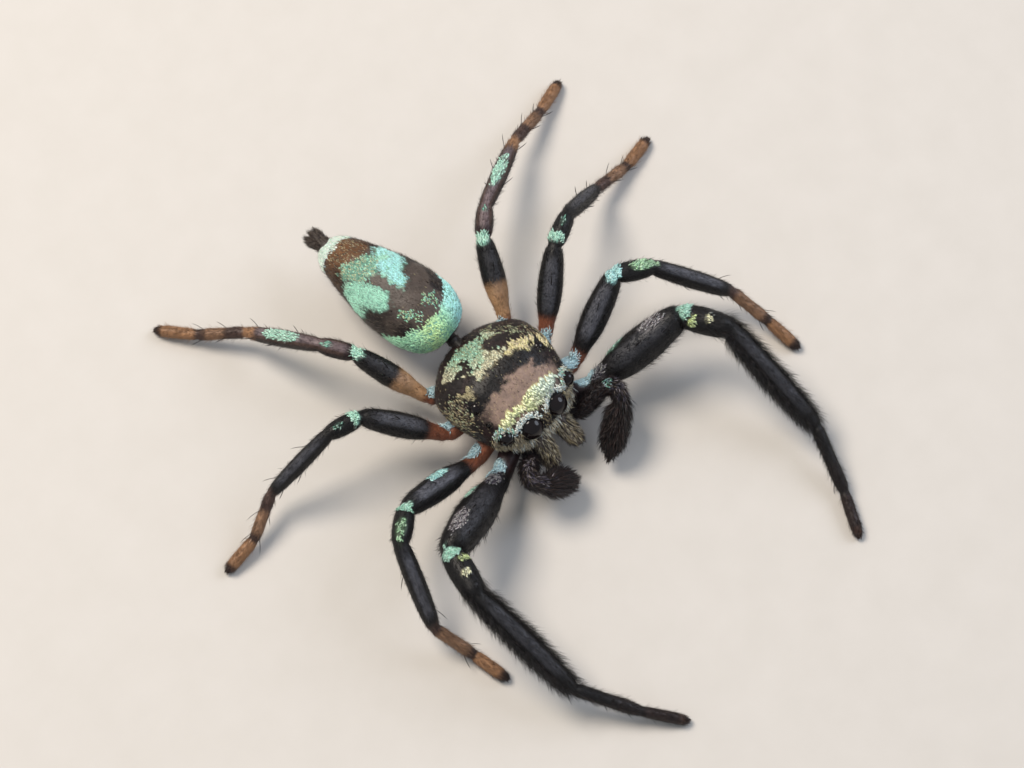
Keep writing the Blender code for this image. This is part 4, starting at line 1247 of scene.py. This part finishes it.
def legCoat(s):
    # scales on the patches, longer at the root, and beyond the coxa hair in the leg's tones and painted sheen
    place, turn, pair = s["place"], s["turn"], s["pair"]
    share, _ = legScales(pair, s["side"], place, turn, s["points"])
    share = np.where(share > 0.12, share, 0)
    beyond = ease(0.6, 0.9, place)
    root = ease(1.2, 1.1, place)
    where = {"patches": share * (1 - root), "rootPatches": share * root, "short": beyond * (1 - share),
             "long": beyond, "feet": beyond * ease(4.0, 4.2, place), "tips": ease(5.80, 5.92, place)}

    def patchTint(r):
        # the patch's own tone, up to four tenths whiter
        base = legScales(pair, s["side"], r["place"], r["turn"], r["root"])[1]
        return mixColours(base, tones["white"], 0.4 * rng.random(len(base)))

    def hairTint(r):
        # the leg's own tone with its painted sheen, one fifth darker
        return legTones(pair, r["place"], r["turn"]) * 0.8 + tones["hairBlack"] * 0.2

    scales = growCoat(s, legFur["scales"], where, tints={"patches": patchTint, "rootPatches": patchTint})
    tints = {name: hairTint for name in ("short", "long", "feet")}
    return scales, growCoat(s, legFur["hair"], where, tints=tints)


def fringeCoat(s):
    # long stiff hairs in a row along both sides and below the first tibia, leaning towards its tip
    place, turn = s["place"], s["turn"]
    sides = np.maximum(bump(turn, 180, 42), bump((turn + 180) % 360, 180, 42))
    under = ease(-0.2, -0.8, np.sin(np.radians(turn)))
    where = {"shin": between(2.7, 3.05, 3.92, 4.02, place) * np.clip(sides + 0.8 * under, 0, 1),
             "thigh": between(1.2, 1.5, 1.95, 2.0, place) * under,
             "heel": between(4.0, 4.1, 4.6, 4.95, place) * np.clip(sides + under, 0, 1)}
    return growCoat(s, legFur["fringe"], where)


palpFur = {
    "hair": {
        "brush": dict(each=950, size=(0.36, 0.024), names="hairBlack palpBlack hairBrown hairBrown",
                      lean=34, curl=30, mess=0.16, rings=3),
        "arm": dict(each=480, size=(0.22, 0.020), names="hairBlack palpBlack hairBrown", lean=30, curl=20),
        # grey and violet hairs along the top of the arm, as painted sheen
        "top": dict(each=140, size=(0.20, 0.020), names="hairGrey violet", lean=22, curl=16),
        "streak": dict(each=420, size=(0.20, 0.020), names="silver silver hairGrey violet", lean=26,
                       curl=18)},
    "scales": {"elbow": dict(each=1400, size=(0.085, 0.036), names="teal mint ice", lean=16)},
    "streaks": {"left": (3.3, 10, 0.5, 34), "right": (2.8, 0, 1.5, 26)},   # place, angle, and their reach
    "elbow": (2.45, 0, 0.25, 40),   # the same for the mint tuft, which only the left palp has
}


def palpCoat(s):
    # a bushy brush at the end, shorter hair on the arm, a silver streak, and a mint tuft on the left elbow
    place, fromTop = s["place"], s["turn"] - 90
    brush = ease(3.75, 4.15, place)
    arm = (1 - brush) * ease(0.5, 0.8, place)
    # the top of the arm, where those hairs make a painted sheen
    top = ease(0.2, 0.8, np.sin(np.radians(s["turn"])))
    where = {"brush": brush, "arm": arm, "top": arm * top * ease(1.8, 2.2, place),
             "streak": blob(place, fromTop, *palpFur["streaks"][s["side"]]),
             "elbow": blob(place, fromTop, *palpFur["elbow"]) * (s["side"] == "left")}
    hair = growCoat(s, palpFur["hair"], where)
    return growCoat(s, palpFur["scales"], where), hair


cheliceraFur = {
    "front": dict(each=620, size=(0.24, 0.018), names="cream hairGrey sand hairGrey", lean=18, curl=16),
    "all": dict(each=110, size=(0.16, 0.016), names="hairBrown hairBlack", lean=28, curl=14),
}


def cheliceraCoat(s):
    # pale hairs on the upper front, and a few dark ones all over
    front = ease(-0.2, 0.5, np.sin(np.radians(s["turn"]))) * (1 - ease(0.45, 0.9, s["place"]))
    return growCoat(s, cheliceraFur, {"front": front, "all": np.ones(s["place"].shape)})


# Spines and claws

# The place along the leg and the angle round it of the stout bristles that some pairs share.
thighSpines = ((1.60, 90), (1.84, 60), (1.84, 120))
footSpines = ((4.40, 20), (4.40, 160), (4.90, 10), (4.90, 170), (4.90, 260))
spines = {
    "rows": {
        1: ((1.55, 90), (1.80, 60), (1.80, 120), (3.30, 235), (3.30, 305), (3.62, 235), (3.62, 305),
            (3.88, 240), (3.88, 300), (4.30, 240), (4.30, 300), (4.80, 235), (4.80, 305)),
        2: (*thighSpines, (3.30, 20), (3.50, 235), (3.80, 160), (3.86, 300), (4.30, 240), (4.30, 300),
            (4.80, 10), (4.80, 170)),
        3: (*thighSpines, (3.30, 20), (3.50, 160), (3.80, 20), (3.80, 160), *footSpines),
        4: (*thighSpines, (3.30, 20), (3.50, 160), (3.84, 20), (3.84, 160), *footSpines)},
    "length": 0.42, "width": 0.030, "lean": 42.0, "curl": 16.0, "flat": 0.9,
}
claws = {
    "spread": 0.05,     # half the gap between the two
    "start": 0.05,      # how far before the foot's end they start
    "bends": ((0.0, 0.0), (0.10, 0.02), (0.16, -0.06)),   # ahead and up from there
    "widths": ((0.0, 0.05), (0.5, 0.04), (1.0, 0.012)), "lowest": 0.02,
}


def legSpines(s):
    # bristles at the grid points nearest to their places and angles
    places, angles = np.array(spines["rows"][s["pair"]], float).T
    lastRow, columns = s["points"].shape[0] - 1, s["points"].shape[1]
    i = np.abs(s["place"][:, 0][None] - places[:, None]).argmin(1)
    j = np.round(angles / 360 * columns).astype(int) % columns
    roots = {"root": s["points"][i, j], "normal": s["normals"][i, j], "along": s["along"][i, j],
             "uv": surfaceUv(s, i / lastRow, j / columns)}
    count = len(places)
    length = spines["length"] * rng.uniform(0.8, 1.15, count)
    return tuftMesh(roots, roots["along"] + shiver(count, 0.08), pickTones("hairBlack", count), length,
                    np.full(count, spines["width"]), spines["lean"], spines["curl"], spines["flat"], rings=4)


def clawTubes(s):
    # two curved claws at each foot's tip
    tip, way = s["path"][-1], unit(s["path"][-1] - s["path"][-2])
    across = unit(np.cross(way, [0, 0, 1.0]))
    tubes = []
    for sign in (-1, 1):
        base = tip - way * claws["start"] + across * claws["spread"] * sign
        path = [base + way * ahead + np.array([0, 0, up]) for ahead, up in claws["bends"]]
        path = np.maximum(path, (-np.inf, -np.inf, claws["lowest"]))
        tubes.append(plainTube("claw", path, claws["widths"], 10))
    return tubes


# Eyes

eyeLooks = {"bulge": 0.05, "bulgeReach": 0.35, "mainGrid": (70, 90), "smallGrid": (36, 44), "mainFrom": 0.3}


def buildEye(centre, radius, facing):
    # a ball with a slightly raised cornea: radius times 1 + bulge times a bell about the way it faces
    t, angle = ballGrid(*eyeLooks["mainGrid" if radius > eyeLooks["mainFrom"] else "smallGrid"])
    right = unit(np.cross([0.0, 0.0, 1.0], facing))
    up = np.cross(facing, right)
    ring = np.sqrt(1 - t * t)
    parts = zip((facing, right, up), (-t, ring * np.cos(angle), ring * np.sin(angle)))
    ways = sum(way * share[..., None] for way, share in parts)
    bulge = eyeLooks["bulge"]
    swell = 1 + bulge * np.exp(-((1 + t) / eyeLooks["bulgeReach"]) ** 2) - bulge
    s = makeSurface(centre + ways * (radius * swell)[..., None], "eye", (0, 0, 1, 1))
    paintPlain(s, "bandBlack", 1.0)
    return s


# Making it all

print("stage: forms")
carapaceSkin, abdomenSkin, pedicelSkin = buildCarapace(), buildAbdomen(), buildPedicel()
legSkins = [buildLeg(side, pair, k) for k, (side, pair) in enumerate(legs["poses"])]
palpSkins = [buildPalp(side, k) for k, side in enumerate(mirrors)]
jaws = [buildChelicera(side, k) for k, side in enumerate(mirrors)]
spinneretSkins = buildSpinnerets()
fangsAndClaws = [buildFang(side) for side in mirrors]
fangsAndClaws += [tube for leg in legSkins for tube in clawTubes(leg)]

print("stage: markings")
paintCarapace(carapaceSkin)
paintAbdomen(abdomenSkin)
for leg in legSkins:
    paintLeg(leg)
for palp in palpSkins:
    paintPalp(palp)
for skins, tone, shine in ((jaws, "cheliceraBrown", 0.6), (fangsAndClaws, "maroon", 0.9),
                           ([pedicelSkin], "brownBlack", 0.4), (spinneretSkins, "abdomenBrown", 0.2)):
    for skin in skins:
        paintPlain(skin, tone, shine)

print("stage: skin")
bodyCuticle, legCuticle, clawHorn = [cuticleMaterial(name) for name in cuticles]
lens, scaleLook, hairLook = lensMaterial(), scaleMaterial(), hairMaterial()

bodySkins = [carapaceSkin, pedicelSkin, abdomenSkin, *spinneretSkins, *jaws, *palpSkins]
bodySkin = joinSurfaces("bodySkin", bodySkins, bodyCuticle)
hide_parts("cephalothorax", "pedicel", "abdomen", "spinnerets", "chelicera_left",
            "chelicera_right", "palp_left_arm", "palp_left_cymbium", "palp_right_arm", "palp_right_cymbium")
legSkin = joinSurfaces("legSkin", legSkins, legCuticle)
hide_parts(*[f"leg_{side}_{pair}_{part}" for side, pair in legs["poses"]
                       for part in ("femur", "tibia", "metatarsus", "tarsus")])
joinSurfaces("fangsAndClaws", fangsAndClaws, clawHorn)

print("stage: eyes")
for name, centre, radius, facing, _ in eyePlaces():
    ball = joinSurfaces(name + "_lens", [buildEye(centre, radius, facing)], lens)
    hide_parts(name)

print("stage: coat")
carapaceScales, carapaceHair = carapaceCoat(carapaceSkin)
carapaceHair += cheekCoat(carapaceSkin)
coatPiece("faceHair", faceCoat(), hairLook)
coatPiece("carapaceScales", carapaceScales, scaleLook)
coatPiece("carapaceHair", carapaceHair, hairLook)
abdomenScales, abdomenHair = abdomenCoat(abdomenSkin)
coatPiece("abdomenScales", abdomenScales, scaleLook)
stalkHair = layer(pedicelSkin, np.ones(pedicelSkin["place"].shape), **abdomenFur["stalk"])
coneHair = [layer(cone, np.ones(cone["place"].shape), **abdomenFur["spinnerets"]) for cone in spinneretSkins]
coatPiece("abdomenHair", [*abdomenHair, *coneHair, stalkHair], hairLook)
palpScales, palpHair = [sum(parts, []) for parts in zip(*[palpCoat(palp) for palp in palpSkins])]
coatPiece("palpHair", palpHair, hairLook)
coatPiece("cheliceraHair", [group for jaw in jaws for group in cheliceraCoat(jaw)], hairLook)
legScaleGroups = palpScales
for leg in legSkins:
    scales, hair = legCoat(leg)
    legScaleGroups += scales
    coatPiece(f"hair_{leg['name']}", hair, hairLook)
    if leg["pair"] == 1:
        coatPiece(f"fringe_{leg['name']}", fringeCoat(leg), hairLook)
coatPiece("legScales", legScaleGroups, scaleLook)
coatPiece("legSpines", [legSpines(leg) for leg in legSkins], hairLook)

# Camera, floor and light

print("stage: camera, floor and light")
view = {
    "azimuth": -46.5, "elevation": 70.0, "lens": 100.0, "sensor": 36.0,
    "aim": (0.5519, 0.2217, 0.2012),   # the point in the middle of the picture, in millimetres
    "distance": 79.01,                 # and how far it is from the camera
}
studio = {  # places, sizes and strengths in metres and watts
    "floor": 0.6, "floorDepth": 0.00002,
    "lamps": {"key": ((-0.02, 0.10, 0.16), 0.09, 0.34, "#fff4e6"),
              "fill": ((0.14, -0.06, 0.12), 0.12, 0.14, "#e6eeff")},
    "sky": "#dfe6ee", "skyStrength": 0.50,
}


def placeCamera():
    # from the aim, back by the distance along the way that azimuth and elevation give
    turn, rise = np.radians(view["azimuth"]), np.radians(view["elevation"])
    right = np.array([np.cos(turn), np.sin(turn), 0])
    up = np.array([-np.sin(turn) * np.sin(rise), np.cos(turn) * np.sin(rise), np.cos(rise)])
    back = np.array([np.sin(turn) * np.cos(rise), -np.cos(turn) * np.cos(rise), np.sin(rise)])
    spot = (np.array(view["aim"]) + back * view["distance"] + slide) * mm
    data = bpy.data.cameras.new("camera")
    data.lens, data.sensor_width = view["lens"], view["sensor"]
    data.clip_start, data.clip_end = 0.001, 10.0
    camera = bpy.data.objects.new("camera", data)
    camera.matrix_world = Matrix.Translation(Vector(spot)) @ Matrix((right, up, back)).transposed().to_4x4()
    bpy.context.scene.collection.objects.link(camera)
    bpy.context.scene.camera = camera


def placeFloor():
    # one square board just below the feet
    half, low = studio["floor"], -studio["floorDepth"]
    corners = [(-half, -half, low), (half, -half, low), (half, half, low), (-half, half, low)]
    mesh = bpy.data.meshes.new("floor")
    mesh.from_pydata(corners, [], [(0, 1, 2, 3)])
    mesh.materials.append(floorMaterial())
    floor = bpy.data.objects.new("floor", mesh)
    bpy.context.scene.collection.objects.link(floor)


def softLight(name, place, size, power, colour):
    # a round lamp that points at the middle of the frame
    data = bpy.data.lights.new(name, "AREA")
    data.shape, data.size, data.energy = "DISK", size, power
    data.color = linearColour(colour)
    lamp = bpy.data.objects.new(name, data)
    lamp.location = place
    lamp.rotation_euler = (-Vector(place)).to_track_quat("-Z", "Y").to_euler()
    bpy.context.scene.collection.objects.link(lamp)


def softSky(colour, strength):
    # even light from all round
    world = bpy.data.worlds.new("sky")
    world.use_nodes = True
    ground = world.node_tree.nodes["Background"]
    ground.inputs["Color"].default_value = (*linearColour(colour), 1)
    ground.inputs["Strength"].default_value = strength
    bpy.context.scene.world = world


placeCamera()
placeFloor()
for name, lamp in studio["lamps"].items():
    softLight(name, *lamp)
softSky(studio["sky"], studio["skyStrength"])
bpy.context.scene.view_settings.view_transform = "Standard"
